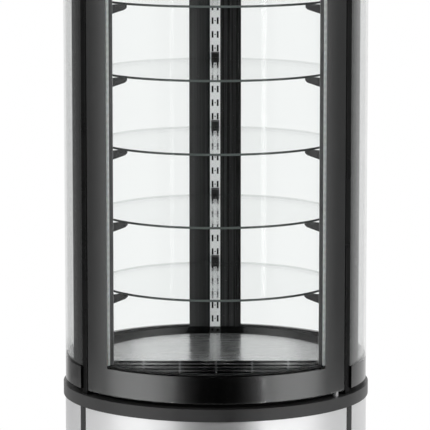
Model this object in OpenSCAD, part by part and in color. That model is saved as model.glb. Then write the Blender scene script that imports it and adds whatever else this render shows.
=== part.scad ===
// Upright round refrigerated cake display case with a curved glass door.
// Millimetres, +Z up, front towards -Y, origin on the floor below the middle.
// Azimuths are measured from the front, positive towards +X.

/* [Heights] */
// Height of the cabinet's underside above the floor
floor_gap = 45; // [38:1:60]
// Height of the steel base, up to the collar ring
base_h = 433; // [410:1:480]
// Height of the black collar ring on the base
collar_h = 27; // [20:1:35]
// Height of the shadow gap above the collar and below the canopy collar
shadow_gap = 11; // [9:1:16]
// Height of the black frames below and above the side glass
frame_h = 57; // [54:1:70]
// Height of the side glass between the two frames
glass_h = 1010; // [920:10:1150]
// Height of the steel canopy above its collar
canopy_h = 72; // [50:2:110]

/* [Round body] */
// Outer radius of the door and the side glass
glass_r = 340; // [334:1:352]
// How far the steel skins stand proud of the glass
skin_proud = 0.8; // [0.4:0.1:2]
// How far the collar rings stand proud of the steel skins
collar_proud = 4.2; // [3:0.1:8]
// Thickness of the steel skins
skin_t = 1.5; // [1:0.1:2]
// Thickness of the collar rings' top plate
collar_plate_t = 5; // [4:0.5:7]
// Width of the collar rings' top plate, measured inwards
collar_plate_w = 43; // [40:1:48]

/* [Glazing] */
// Thickness of the outer panes
outer_pane_t = 5; // [4:0.5:6]
// Thickness of the inner panes
inner_pane_t = 4; // [3:0.5:5]
// Air gap between the outer and inner panes
pane_gap = 12; // [11:0.5:14]
// Azimuth at which the side glass starts beside the front posts
side_glass_az = 62; // [61.8:0.1:63]
// Width in azimuth of the black band on the side glass's front edge
side_band_az = 9.4; // [7:0.2:11]
// Width in azimuth of the black band on the side glass's rear edge
rear_band_az = 1.5; // [1:0.1:1.6]
// Height of the spacer bars and the frames' grooves along the side glass's top and bottom edges
spacer_h = 8; // [6:1:12]

/* [Door] */
// Azimuth of the door's edges
door_az = 57.7; // [57.3:0.2:58.1]
// Width of the door's black side borders along the curve
door_border_w = 71.8; // [65.8:1:75.8]
// Height of the door's black top and bottom borders
door_border_h = 57.6; // [50:0.2:66]
// Width in azimuth of the door frame's stiles
door_stile_az = 8; // [7.5:0.5:8.5]
// How far in azimuth the outer pane laps over the door frame's stiles
pane_lap_az = 2.4; // [2.2:0.1:2.6]
// Height of the door frame's rails
door_rail_h = 30; // [26:1:36]
// Thickness of the border film on the door's outer pane
film_t = 0.6; // [0.4:0.1:0.9]
// Thickness of the door gasket
gasket_t = 6.7; // [6:0.1:8]
// Width of the door gasket's rails
gasket_h = 16; // [12:1:20]
// Width in azimuth of the door gasket's stiles
gasket_az = 2.2; // [1.6:0.1:2.2]
// Distance from the door's edge to the hinge axis along the curve
hinge_inset = 26.7; // [25.5:0.3:27.9]
// Depth of the hinge axis behind the face of the glass
hinge_depth = 12; // [11.5:0.1:12.5]
// Height of the door gasket's rails above and below the door's ends
gasket_inset = 8; // [5:1:10]
// Diameter of the hinge pins in the door frame
hinge_pin_d = 8; // [6:0.5:8.5]
// Diameter of the bright hinge sleeves in the shadow gaps
hinge_sleeve_d = 14; // [12:0.5:15]
// Length of the hinge pins inside the door frame
hinge_pin_l = 20; // [15:1:24]

/* [Posts] */
// Depth of the front posts behind the door's gasket
post_d = 24; // [22:1:26]
// Distance from the door border's inner edge to the front posts' inner side
post_show = 16.8; // [14.4:0.2:19]
// Azimuth at which the front posts end behind the side glass
post_end_az = 66; // [65:0.5:68]
// How far the front posts' nose lies behind the glass face
nose_recess = 4; // [2:0.5:8]
// Half width of the rear post
rear_post_half_w = 60.5; // [56:0.5:64]
// Depth of the rear post inside the side glass
rear_post_d = 27; // [24:1:29]
// Distance from the front posts' inner side to the light strips
led_inset = 8; // [7:0.5:8.5]
// Width of the light strips
led_w = 9; // [8:0.5:9.5]
// Depth of the light strips
led_d = 9; // [8:0.5:10]
// Wall of the light strips' channel
led_wall = 1.5; // [1:0.1:2]

/* [Shelves] */
// Gap between the shelves' back edges and the rear slotted strip
shelf_gap = 25.5; // [22:0.5:32]
// Thickness of the glass shelves
shelf_t = 5; // [4:0.5:7]
// Chamfer on the shelves' edges
shelf_chamfer = 0.8; // [0.4:0.1:1.2]
// Height of the lowest shelf's middle above the deck
first_shelf_h = 169; // [150:1:190]
// Spacing of the slots in the shelf strips
slot_pitch = 32; // [30:1:34]
// Number of slots from one shelf to the next
slots_per_shelf = 5; // [4:1:5]
// Length of each slot
slot_l = 15.6; // [14.6:0.2:18]
// Width of each slot
slot_w = 4.2; // [3.8:0.1:5]
// Distance of the shelf's own slot below the shelf's middle
slot_drop = 10; // [9.5:0.5:11]
// Distance of the rear strip's slot columns from its middle
slot_column_x = 6; // [5.5:0.1:6.5]
// Diameter of the small holes between the slot columns
strip_hole_d = 3; // [2:0.5:3.5]
// Thickness of the slotted strips
strip_t = 2; // [1.5:0.1:2.5]
// Width of the rear slotted strip
rear_strip_w = 24; // [22:1:30]
// Width of the front slotted strips
front_strip_w = 18; // [14:1:20]
// Azimuth of the front strips and their brackets
bracket_az = 54.1; // [53.8:0.1:54.4]
// Thickness of the shelf brackets
bracket_t = 3; // [2:0.5:3.5]
// How far the shelf brackets reach under the shelf
bracket_reach = 22.5; // [16:0.5:30]
// Height of the brackets at their tip
bracket_tip_h = 8.5; // [6:0.5:11]
// Height of the brackets at their root
bracket_root_h = 21; // [17:0.5:26]
// Width of the rear shelf clips
clip_w = 18; // [16:1:22]
// Height of the rear shelf clips above the shelf's middle
clip_up = 13.5; // [9:0.5:16]
// Height of the rear shelf clips below the shelf's middle
clip_down = 10; // [8.5:0.5:14]
// How far the rear clips reach over the shelf
clip_reach = 7; // [5:0.5:12]

/* [Deck and tub] */
// Depth of the deck below the lower frame's top
deck_drop = 12; // [9:1:16]
// Thickness of the deck, the grille and the tub liner
sheet_t = 1.5; // [1:0.1:2]
// Width of the lower frame's flat sill behind the door
sill_w = 22; // [20:1:23]
// Radial width of the frame's sloping cove round the deck
cove_w = 24; // [20:1:26]
// Width of the ledges that carry the deck and the grille
ledge_w = 6; // [4:0.5:8]
// Distance of the deck's straight front edge from the middle
deck_edge_y = 71.5; // [66:0.5:78]
// Horizontal run of the sloping grille
grille_run = 42; // [38:1:48]
// Drop of the sloping grille
grille_drop = 36; // [34:0.5:37]
// Half width of the slotted part of the grille
grille_half_w = 225; // [200:1:228]
// Spacing of the ribs between the grille's slots
rib_pitch = 81; // [76:1:84]
// Width of the ribs between the grille's slots
rib_w = 4; // [3:0.5:6]
// Number of slot rows in the grille
grille_rows = 5; // [4:1:5]
// Distance along the slope from the deck's edge to the first slot row
grille_first_row = 4; // [3.5:0.1:5]
// Spacing of the slot rows along the slope
grille_row_pitch = 10; // [9.4:0.1:10.4]
// Width of the slots along the slope
grille_slot_w = 4.5; // [3.5:0.1:5]
// Depth of the tub below the lower frame
tub_depth = 120; // [110:2:140]
// Thickness of the insulation below the tub's floor
insulation_t = 28; // [24:1:34]
// Thickness of the tub's shell
shell_t = 2; // [1.5:0.5:3]
// Depth of the recessed wall in the shadow gaps behind the glass face
gap_recess = 25; // [22:1:28]
// Thickness of the insulated ceiling panel
ceiling_t = 35; // [25:1:45]

/* [Base] */
// Thickness of the base plate
plate_t = 3; // [2.5:0.5:5]
// Radius of the circle on which the feet stand
foot_circle_r = 270; // [262:1:276]
// Diameter of the feet's pads
foot_pad_d = 50; // [40:1:60]
// Height of the feet's pads
foot_pad_h = 8; // [6:1:12]
// Diameter of the feet's stems
foot_stem_d = 12; // [10:1:14]
// Length of the threaded sleeves on the base plate
foot_sleeve_l = 30; // [24:1:40]
// Side of the square uprights
upright_w = 25; // [20:1:28]
// Wall of the square uprights
upright_t = 2; // [1.5:0.5:3]
// Height of the frame's top ring
top_ring_h = 12; // [10:1:16]
// Number of rows of air slots in the rear skin
vent_rows = 12; // [8:1:12]
// Spacing of the rows of air slots
vent_pitch = 16; // [14:1:17]
// Height of each air slot
vent_h = 7; // [5:0.5:9]
// Width in azimuth of each air slot
vent_az = 11; // [8:0.5:12]
// Radial depth of the black seam strips
seam_d = 9; // [7:0.5:9.5]
// Diameter of the panel screws' heads
screw_head_d = 8; // [6:0.5:9]

/* [Refrigeration] */
// Diameter of the compressor's pot
pot_d = 150; // [130:1:156]
// Height of the compressor's pot
pot_h = 175; // [150:1:190]
// Height of the compressor's rubber feet
rubber_foot_h = 18; // [14:1:24]
// Width of the condenser
condenser_w = 240; // [225:5:245]
// Height of the condenser
condenser_h = 210; // [200:2:220]
// Depth of the condenser
condenser_d = 50; // [40:1:55]
// Radius of the condenser fan
condenser_fan_r = 80; // [70:1:86]
// Width of the evaporator coil
coil_w = 320; // [280:5:340]
// Height of the evaporator coil
coil_h = 100; // [80:2:110]
// Depth of the evaporator coil
coil_d = 80; // [60:2:90]
// Side of the evaporator fan's square frame
fan_frame_w = 100; // [92:1:104]
// Depth of the evaporator fan's frame
fan_frame_d = 38; // [34:1:42]
// Outer diameter of the drain pipe
drain_d = 20; // [16:1:24]
// Outer diameter of the copper lines
line_d = 8; // [6:0.5:9.5]
// Length of the drip tray
tray_l = 190; // [160:5:190]
// Width of the drip tray
tray_w = 130; // [110:5:140]
// Height of the drip tray
tray_h = 40; // [30:2:50]

/* [Controls] */
// Width of the rear control panel
panel_w = 130; // [126:1:140]
// Height of the rear control panel
panel_h = 62; // [56:1:66]
// Width of the thermostat's bezel
bezel_w = 74; // [70:1:76]
// Height of the thermostat's bezel
bezel_h = 34; // [30:1:36]
// Depth of the thermostat behind the panel
thermostat_d = 55; // [40:1:60]
// Width of the thermostat's keys
key_w = 9; // [7:0.5:10]
// Height of the thermostat's keys
key_h = 6; // [5:0.5:8]
// Length of the rocker switch
rocker_l = 20; // [16:1:22]
// Width of the rocker switch
rocker_w = 12; // [10:1:14]
// Tilt of the rocker to each side
rocker_tilt = 8; // [6:1:10]
// Diameter of the power gland's thread
gland_d = 20; // [16:1:24]
// Diameter of the cord hole in the power gland
gland_bore_d = 8.5; // [6:0.5:10]

/* [Clearances] */
// Gap between curved faces that lie against each other
seat_gap = 0.2; // [0.1:0.05:0.3]
// Gap in azimuth between the door's edge and the posts
door_gap_az = 0.5; // [0.4:0.1:0.6]
// Gap between the door's edges and what its top and bottom face
door_end_gap = 0.4; // [0.3:0.1:1]
// Radial clearance of pins and stems in their bores
bore_clearance = 0.05; // [0.03:0.01:0.08]
// Clearance round the keys and the rocker
key_clearance = 0.3; // [0.2:0.05:0.5]

/* [Hidden] */
$fn = 144;

// Heights of the main levels, from the floor up
z_base = floor_gap;
z_plate = z_base + plate_t;
z_collar = z_base + base_h;
z_gap = z_collar + collar_h;
z_frame = z_gap + shadow_gap;
z_glass = z_frame + frame_h;
z_upper = z_glass + glass_h;
z_upper_top = z_upper + frame_h;
z_pane = z_glass - spacer_h;
z_pane_top = z_upper + spacer_h;
z_canopy = z_upper_top + shadow_gap;
z_canopy_skin = z_canopy + collar_h;
z_top = z_canopy_skin + canopy_h;
z_deck = z_glass - deck_drop;
z_pan = z_deck - grille_drop;
z_liner = z_frame - tub_depth;
z_tub = z_liner - sheet_t - insulation_t - shell_t;
z_collar_plate = z_gap - collar_plate_t;
z_top_ring = z_collar_plate - top_ring_h;

// Radii, from the glass inwards
outer_pane_in_r = glass_r - outer_pane_t;
inner_pane_out_r = outer_pane_in_r - pane_gap;
inner_pane_in_r = inner_pane_out_r - inner_pane_t;
seat_r = inner_pane_in_r - gasket_t - 2 * seat_gap;
post_in_r = seat_r - post_d;
nose_r = glass_r - nose_recess;
recess_r = glass_r - gap_recess;
skin_r = glass_r + skin_proud;
skin_in_r = skin_r - skin_t;
collar_r = skin_r + collar_proud;
collar_wall_r = skin_r + seat_gap;
collar_in_r = collar_r - collar_plate_w;
sill_in_r = seat_r - sill_w;
deck_r = sill_in_r - cove_w;
liner_r = deck_r - ledge_w;
shell_r = collar_in_r - seat_gap;
band_in_r = inner_pane_out_r + seat_gap;
band_out_r = outer_pane_in_r - seat_gap;
film_out_r = outer_pane_in_r - seat_gap / 2;
film_in_r = film_out_r - film_t;
door_frame_out_r = film_in_r - seat_gap / 2;

// Azimuths of the front posts' nose and of the side glass's rear edge
nose_from_az = door_az + door_gap_az;
nose_to_az = side_glass_az - door_gap_az / 2;
rear_lap = 9.5;
rear_glass_az = 180 - asin((rear_post_half_w - rear_lap) / glass_r);
seam_gap_az = 0.3;

// The door's ends and its hinge
z_door = z_frame + door_end_gap;
z_door_top = z_upper_top - door_end_gap;
door_stile_out_az = door_az - pane_lap_az;
door_stile_in_az = door_az - door_stile_az;
gasket_lap_az = 0.1;
hinge_r = glass_r - hinge_depth;
hinge_az = door_az - hinge_inset / glass_r * 180 / PI;
hinge_xy = polar(hinge_r, hinge_az);
swing_clearance = 0.8;
hinge_nut_h = 5;
swing_r = norm(polar(glass_r, door_az) - hinge_xy) + swing_clearance;
pocket_r = hinge_r - swing_r;

// The light strips behind the door's border
door_border_az = door_border_w / glass_r * 180 / PI;
flange_x = glass_r * sin(door_az - door_border_az) - post_show;
post_lap_az = 16;
led_x = flange_x + led_inset;
led_edge_inset = 1;
led_front_y = -sqrt(pow(seat_r - led_edge_inset, 2) - pow(led_x + led_w, 2));

// The shelf strips and what hooks into them
rear_post_y = inner_pane_in_r - rear_post_d;
rear_strip_y = rear_post_y - strip_t;
shelf_r = rear_strip_y - shelf_gap;
front_seat_gap = 0.3;
front_strip_r = post_in_r - front_seat_gap - strip_t;
shelf_pitch = slot_pitch * slots_per_shelf;
shelf_count = 5;
strip_margin = 16;
z_first_slot = shelf_z(1) - slot_drop;
slots_below = floor((z_first_slot - z_glass - strip_margin) / slot_pitch);
slots_above = floor((z_upper - strip_margin - z_first_slot) / slot_pitch);
tab_h = slot_l - 2;
tab_clearance = 0.2;
clip_screw_drop = 5.2;
clip_screw_d = 4.6;

// Feet and the base's fixings
foot_azimuths = [-45, 45, 135, 225];
foot_hex_r = 11;
foot_hex_h = 7;
foot_stem_top = 15;
sleeve_wall = 7;
upright_azimuths = [-60, 60, 125, 235];
upright_gap = 0.5;
upright_r = skin_r - seam_d - upright_gap - upright_w / 2;
rim_gap = 0.3;
panel_screw_azimuths = [-50, 50, 66, 110, 150, 210, 250, 294];
canopy_screw_azimuths = [66, 130, 230, 294];
screw_head_h = 1.8;
screw_inset = 14;

// Machine compartment
pot_xy = [-150, 90];
dome_r = 150;
foot_plate_w = 170;
foot_plate_d = 120;
foot_plate_t = 3;
z_pot = z_plate + rubber_foot_h + foot_plate_t;
condenser_x = 50;
condenser_inset = 89.3;
condenser_y = skin_in_r - condenser_inset - condenser_d;
condenser_foot_h = 10;
condenser_foot_w = 30;
z_condenser = z_plate + condenser_foot_h;
z_condenser_top = z_condenser + condenser_h;
side_plate_t = 2;
side_plate_lip = 3;
shroud_t = 2;
shroud_ring_t = 2.5;
shroud_ring_l = 40;
fan_tip_gap = 4;
blade_tilt = 35;
blade_t = 1.6;
blade_fill = 0.9;
condenser_fan_l = 26;
motor_r = 30;
motor_l = 36;
motor_gap = 5;
shaft_r = 4;
strut_w = 8;
strut_t = 4;
z_lines = 300;
discharge_inset = 30;
z_vents = z_plate + 32;
vent_azimuths = [155, 170, 185];
intake_rows = 3;
intake_azimuths = [-24, -12, 0, 12, 24];
intake_az = 10;

// Tub compartment and ceiling
coil_y = 60;
fan_y = 8;
fan_frame_gap = 5;
evaporator_motor_r = 18;
evaporator_motor_l = 14;
evaporator_shaft_r = 3;
drain_xy = [-70, -130];
suction_xy = [-120, 100];
liquid_xy = [120, 100];
hole_gap = 0.2;
pipe_wall = 1.5;
tray_wall = 2;
drain_end_gap = 12;
ceiling_ledge_h = 7;
ceiling_ledge_w = 10;

// Control panel at the back of the base
panel_t = 3;
panel_y = sqrt(pow(skin_in_r, 2) - pow(panel_w / 2, 2)) - seat_gap;
panel_lap = 4;
z_panel = z_tub - 12 - panel_h / 2;
bezel_t = 3;
thermostat_x = 20;
rocker_x = -38;
key_proud = 1;
key_depth = 2.4;
key_pocket = 3.6;
key_offsets = [10, 0, -10];
key_column_x = 12;
bezel_lap_x = 4;
bezel_lap_z = 3;
display_x = 34;
display_w = 34;
display_h = 16;
display_depth = 0.6;
rocker_wall = 2;
rocker_pin_r = 1.5;
rocker_depth = 5.5;
rocker_back_gap = 6;
rocker_bevel = 3;
rocker_rise = 5;
rocker_dip = 3.6;
rocker_end_draft = 0.6;
gland_az = 215;
z_gland = z_plate + 50;
gland_hex_gap = 3;
gland_head_h = 8;
gland_nut_h = 6;

function polar(r, az) = [r * sin(az), -r * cos(az)];
function shelf_z(i) = z_deck + first_shelf_h + (i - 1) * shelf_pitch;

// A block of a ring between two radii, azimuths and heights
module sector(r_in, r_out, az_from, az_to, z_from, z_to) {
    rotate([0, 0, az_from - 90])
        rotate_extrude(angle = az_to - az_from)
            translate([r_in, z_from])
                square([r_out - r_in, z_to - z_from]);
}

// A whole ring between two radii and heights
module ring(r_in, r_out, z_from, z_to) {
    rotate_extrude()
        translate([r_in, z_from])
            square([r_out - r_in, z_to - z_from]);
}

// A curved rectangular frame: a sector with a window in it
module curved_frame(r_in, r_out, az_from, az_to, z_from, z_to, side_az_from, side_az_to, rail) {
    difference() {
        sector(r_in, r_out, az_from, az_to, z_from, z_to);
        sector(r_in - 1, r_out + 1, az_from + side_az_from, az_to - side_az_to, z_from + rail, z_to - rail);
    }
}

// Children drawn with +X pointing outwards at an azimuth
module facing(az) {
    rotate([0, 0, az - 90])
        children();
}

// Children drawn with +Z pointing towards the back
module towards_back() {
    rotate([-90, 0, 0])
        children();
}

// A box centred in X and Y that stands on Z = 0
module standing_box(size) {
    translate([-size[0] / 2, -size[1] / 2, 0])
        cube(size);
}

// The pocket that the door's lapping edge needs beside the hinge
module hinge_pocket(z_from, z_to) {
    sector(pocket_r, seat_r + 1, hinge_az + gasket_lap_az, nose_from_az + 0.1, z_from - 1, z_to + 1);
}

// The grooves in the frames that hold the side glass, its spacer bars and its bands
module pane_grooves(z_from, z_to) {
    for (az = [side_glass_az - 1, 360 - rear_glass_az - seam_gap_az])
        sector(
            inner_pane_in_r - seat_gap, glass_r + 1, az, az + 1 + rear_glass_az + seam_gap_az - side_glass_az,
            z_from, z_to
        );
}

module levelling_foot(i) {
    xy = polar(foot_circle_r, foot_azimuths[i]);
    color([0.55, 0.55, 0.57])
        translate([xy[0], xy[1], 0]) {
            cylinder(d = foot_pad_d, h = foot_pad_h);
            translate([0, 0, foot_pad_h])
                cylinder(r = foot_hex_r, h = foot_hex_h, $fn = 6);
            cylinder(d = foot_stem_d, h = z_plate + foot_sleeve_l + foot_stem_top);
        }
}

module base_plate() {
    color([0.35, 0.35, 0.36])
        difference() {
            union() {
                translate([0, 0, z_base])
                    cylinder(r = skin_in_r - rim_gap, h = plate_t);
                for (az = foot_azimuths)
                    facing(az)
                        translate([foot_circle_r, 0, z_base])
                            cylinder(r = foot_stem_d / 2 + sleeve_wall, h = plate_t + foot_sleeve_l);
            }
            for (az = foot_azimuths)
                facing(az)
                    translate([foot_circle_r, 0, z_base - 1])
                        cylinder(r = foot_stem_d / 2 + bore_clearance, h = plate_t + foot_sleeve_l + 2);
        }
}

// Four square uprights welded under a ring that carries the collar
module base_frame() {
    color([0.3, 0.3, 0.32])
        difference() {
            union() {
                ring(collar_in_r, skin_in_r - rim_gap, z_top_ring, z_collar_plate);
                for (az = upright_azimuths)
                    facing(az)
                        translate([upright_r, 0, z_plate])
                            standing_box([upright_w, upright_w, z_top_ring - z_plate + 1]);
            }
            for (az = upright_azimuths)
                facing(az)
                    translate([upright_r, 0, z_plate - 1])
                        standing_box([
                            upright_w - 2 * upright_t, upright_w - 2 * upright_t, z_top_ring - z_plate + 1
                        ]);
            translate([hinge_xy[0], hinge_xy[1], z_top_ring - 1])
                cylinder(r = hinge_pin_d / 2 + bore_clearance, h = top_ring_h + 2);
        }
}

module base_rear_skin() {
    color([0.8, 0.8, 0.81])
        difference() {
            sector(skin_in_r, skin_r, side_glass_az, 360 - side_glass_az, z_base, z_collar_plate - rim_gap);
            for (az = vent_azimuths, row = [0 : vent_rows - 1])
                sector(
                    skin_in_r - 5, skin_r + 5, az - vent_az / 2, az + vent_az / 2,
                    z_vents + row * vent_pitch, z_vents + row * vent_pitch + vent_h
                );
            translate([-panel_w / 2 + panel_lap, skin_in_r - 20, z_panel - panel_h / 2 + panel_lap])
                cube([panel_w - 2 * panel_lap, 40, panel_h - 2 * panel_lap]);
            facing(gland_az)
                translate([skin_in_r - 10, 0, z_gland])
                    rotate([0, 90, 0])
                        cylinder(d = gland_d + 2 * hole_gap, h = 20);
        }
}

module base_front_panel() {
    edge_az = nose_from_az - seam_gap_az;
    color([0.8, 0.8, 0.81])
        difference() {
            sector(skin_in_r, skin_r, -edge_az, edge_az, z_base, z_collar_plate - rim_gap);
            for (az = intake_azimuths, row = [0 : intake_rows - 1])
                sector(
                    skin_in_r - 5, skin_r + 5, az - intake_az / 2, az + intake_az / 2,
                    z_vents + row * vent_pitch, z_vents + row * vent_pitch + vent_h
                );
        }
}

module base_seam_strips() {
    color([0.06, 0.06, 0.06])
        for (az = [nose_from_az, -nose_to_az])
            sector(skin_r - seam_d, skin_r, az, az + nose_to_az - nose_from_az, z_plate, z_top_ring);
}

// Heads of the panel, canopy and clip screws, seated on their parts
module screws() {
    color([0.75, 0.75, 0.76]) {
        for (az = panel_screw_azimuths)
            facing(az)
                translate([skin_r, 0, z_base + screw_inset])
                    rotate([0, 90, 0])
                        cylinder(d = screw_head_d, h = screw_head_h);
        for (az = canopy_screw_azimuths)
            facing(az)
                translate([skin_r, 0, z_canopy_skin + screw_inset])
                    rotate([0, 90, 0])
                        cylinder(d = screw_head_d, h = screw_head_h);
        for (i = [1 : shelf_count])
            translate([0, shelf_r - clip_reach - screw_head_h / 2, shelf_z(i) - clip_screw_drop])
                towards_back()
                    cylinder(d = clip_screw_d, h = screw_head_h / 2);
    }
}

module collar_ring() {
    color([0.08, 0.08, 0.085])
        difference() {
            rotate_extrude()
                polygon([
                    [collar_in_r, z_collar_plate], [collar_wall_r, z_collar_plate], [collar_wall_r, z_collar],
                    [collar_r, z_collar], [collar_r, z_gap], [collar_in_r, z_gap]
                ]);
            translate([hinge_xy[0], hinge_xy[1], z_collar_plate - 1])
                cylinder(r = hinge_pin_d / 2 + bore_clearance, h = collar_plate_t + 2);
        }
}

// Holes through the tub's floor for the drain and the two copper lines
module tub_holes() {
    translate([drain_xy[0], drain_xy[1], z_tub - 1])
        cylinder(r = drain_d / 2 + hole_gap, h = z_liner - z_tub + 2);
    for (xy = [suction_xy, liquid_xy])
        translate([xy[0], xy[1], z_tub - 1])
            cylinder(r = line_d / 2 + hole_gap, h = z_liner - z_tub + 2);
}

module tub_shell() {
    color([0.05, 0.05, 0.05])
        difference() {
            rotate_extrude()
                polygon([
                    [0, z_tub], [shell_r, z_tub], [shell_r, z_gap], [recess_r, z_gap], [recess_r, z_frame],
                    [shell_r - shell_t, z_frame], [shell_r - shell_t, z_tub + shell_t], [0, z_tub + shell_t]
                ]);
            tub_holes();
        }
}

module tub_insulation() {
    color([0.86, 0.8, 0.6])
        difference() {
            rotate_extrude()
                polygon([
                    [0, z_tub + shell_t], [shell_r - shell_t - seat_gap, z_tub + shell_t],
                    [shell_r - shell_t - seat_gap, z_frame], [liner_r + seat_gap, z_frame],
                    [liner_r + seat_gap, z_liner - sheet_t], [0, z_liner - sheet_t]
                ]);
            tub_holes();
        }
}

module tub_liner() {
    color([0.78, 0.78, 0.79])
        difference() {
            rotate_extrude()
                polygon([
                    [0, z_liner - sheet_t], [liner_r, z_liner - sheet_t], [liner_r, z_frame],
                    [liner_r - sheet_t, z_frame], [liner_r - sheet_t, z_liner], [0, z_liner]
                ]);
            tub_holes();
        }
}

module lower_frame() {
    color([0.07, 0.07, 0.075])
        difference() {
            union() {
                rotate_extrude()
                    polygon([
                        [deck_r - 2 * ledge_w, z_frame], [deck_r - 2 * ledge_w, z_pan - sheet_t],
                        [deck_r - ledge_w, z_pan - sheet_t], [deck_r - ledge_w, z_deck - sheet_t],
                        [deck_r, z_deck - sheet_t], [deck_r, z_deck], [sill_in_r, z_glass],
                        [seat_r, z_glass], [seat_r, z_frame]
                    ]);
                sector(seat_r - 1, glass_r, side_glass_az, 360 - side_glass_az, z_frame, z_glass);
            }
            hinge_pocket(z_frame, z_glass);
            pane_grooves(z_pane, z_glass + 1);
        }
}

module deck() {
    color([0.82, 0.82, 0.83])
        difference() {
            translate([0, 0, z_deck - sheet_t])
                cylinder(r = deck_r - seat_gap, h = sheet_t);
            translate([-deck_r, -deck_edge_y - 2 * deck_r, z_deck - sheet_t - 1])
                cube([2 * deck_r, 2 * deck_r, sheet_t + 2]);
        }
}

// Sloping slotted sheet that runs down from the deck's edge into a flat front pan
module deck_grille() {
    slope_az = atan(grille_drop / grille_run);
    top_y = -deck_edge_y - seat_gap;
    low_drop = sheet_t / cos(slope_az);
    pan_run = (grille_drop + sheet_t - low_drop) * grille_run / grille_drop;
    rib_cells = ceil(grille_half_w / rib_pitch);
    color([0.8, 0.8, 0.81])
        intersection() {
            translate([0, 0, z_pan - 20])
                cylinder(r = deck_r - ledge_w - seat_gap, h = grille_drop + 40);
            difference() {
                rotate([90, 0, 90])
                    translate([0, 0, -deck_r])
                        linear_extrude(height = 2 * deck_r)
                            polygon([
                                [top_y, z_deck], [top_y - grille_run, z_pan], [-deck_r, z_pan],
                                [-deck_r, z_pan - sheet_t], [top_y - pan_run, z_pan - sheet_t],
                                [top_y, z_deck - low_drop]
                            ]);
                translate([0, top_y, z_deck])
                    rotate([slope_az, 0, 0])
                        for (row = [0 : grille_rows - 1], cell = [-rib_cells : rib_cells - 1]) {
                            x_from = max(cell * rib_pitch + rib_w / 2, -grille_half_w);
                            x_to = min((cell + 1) * rib_pitch - rib_w / 2, grille_half_w);
                            translate([
                                x_from, -grille_first_row - row * grille_row_pitch - grille_slot_w / 2, -4
                            ])
                                cube([x_to - x_from, grille_slot_w, 8]);
                        }
            }
        }
}

// A finned coil block with side plates and the round ends of its tubes
module coil_block(w, d, h, tubes) {
    bend_r = 4;
    bend_l = 10;
    standing_box([w, d, h]);
    for (side = [-1, 1]) {
        translate([side * (w + side_plate_t) / 2, 0, 0])
            standing_box([side_plate_t, d + 2 * side_plate_lip, h]);
        for (i = [0 : tubes - 1])
            translate([side * (w / 2 + side_plate_t), 0, (i + 0.5) * h / tubes])
                rotate([0, side * 90, 0])
                    translate([0, 0, -1])
                        cylinder(r = bend_r, h = bend_l + 1);
    }
}

module evaporator_coil() {
    color([0.7, 0.7, 0.7])
        translate([0, coil_y + coil_d / 2, z_liner])
            coil_block(coil_w, coil_d, coil_h, 4);
}

// A rotor that turns about Z on a shaft bore
module fan_rotor(tip_r, hub_r, depth, blades, bore_r) {
    chord = blade_fill * depth / sin(blade_tilt);
    difference() {
        union() {
            cylinder(r = hub_r, h = depth);
            intersection() {
                cylinder(r = tip_r, h = depth);
                for (i = [0 : blades - 1])
                    rotate([0, 0, i * 360 / blades])
                        translate([hub_r - 2, 0, depth / 2])
                            rotate([blade_tilt, 0, 0])
                                translate([0, -chord / 2, -blade_t / 2])
                                    cube([tip_r, chord, blade_t]);
            }
        }
        translate([0, 0, -1])
            cylinder(r = bore_r, h = depth + 2);
    }
}

module evaporator_fan_frame() {
    mouth_r = fan_frame_w / 2 - fan_frame_gap;
    color([0.12, 0.12, 0.12])
        translate([0, fan_y, z_liner + fan_frame_w / 2])
            towards_back() {
                difference() {
                    translate([-fan_frame_w / 2, -fan_frame_w / 2, 0])
                        cube([fan_frame_w, fan_frame_w, fan_frame_d]);
                    translate([0, 0, -1])
                        cylinder(r = mouth_r, h = fan_frame_d + 2);
                }
                cylinder(r = evaporator_motor_r, h = evaporator_motor_l);
                cylinder(r = evaporator_shaft_r, h = fan_frame_d - 2);
                for (turn = [45, 135])
                    rotate([0, 0, turn])
                        translate([-mouth_r - 1, -strut_w / 2, 0])
                            cube([2 * mouth_r + 2, strut_w, strut_t]);
            }
}

module evaporator_fan() {
    mouth_r = fan_frame_w / 2 - fan_frame_gap;
    color([0.16, 0.16, 0.17])
        translate([0, fan_y + evaporator_motor_l + 1, z_liner + fan_frame_w / 2])
            towards_back()
                fan_rotor(
                    mouth_r - 2, evaporator_motor_r, fan_frame_d - evaporator_motor_l - 3, 7,
                    evaporator_shaft_r + bore_clearance
                );
}

module drain_pipe() {
    z_low = z_plate + tray_wall + drain_end_gap;
    color([0.85, 0.85, 0.85])
        translate([drain_xy[0], drain_xy[1], z_low])
            difference() {
                cylinder(d = drain_d, h = z_liner - seat_gap - z_low);
                translate([0, 0, -1])
                    cylinder(d = drain_d - 2 * pipe_wall, h = z_liner - z_low + 2);
            }
}

module drip_tray() {
    color([0.25, 0.25, 0.26])
        translate([drain_xy[0], drain_xy[1], z_plate])
            difference() {
                standing_box([tray_l, tray_w, tray_h]);
                translate([0, 0, tray_wall])
                    standing_box([tray_l - 2 * tray_wall, tray_w - 2 * tray_wall, tray_h]);
            }
}

// Welded pot on a foot plate with four rubber feet
module compressor() {
    color([0.1, 0.1, 0.11])
        translate([pot_xy[0], pot_xy[1], 0]) {
            translate([0, 0, z_pot - 0.5])
                intersection() {
                    cylinder(d = pot_d, h = pot_h + 0.5);
                    translate([0, 0, pot_h + 0.5 - dome_r])
                        sphere(r = dome_r);
                }
            translate([0, 0, z_pot - foot_plate_t])
                standing_box([foot_plate_w, foot_plate_d, foot_plate_t]);
            for (x = [-1, 1], y = [-1, 1])
                translate([x * (foot_plate_w / 2 - 14), y * (foot_plate_d / 2 - 14), z_plate])
                    cylinder(r = 11, h = rubber_foot_h + 0.5);
        }
}

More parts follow.
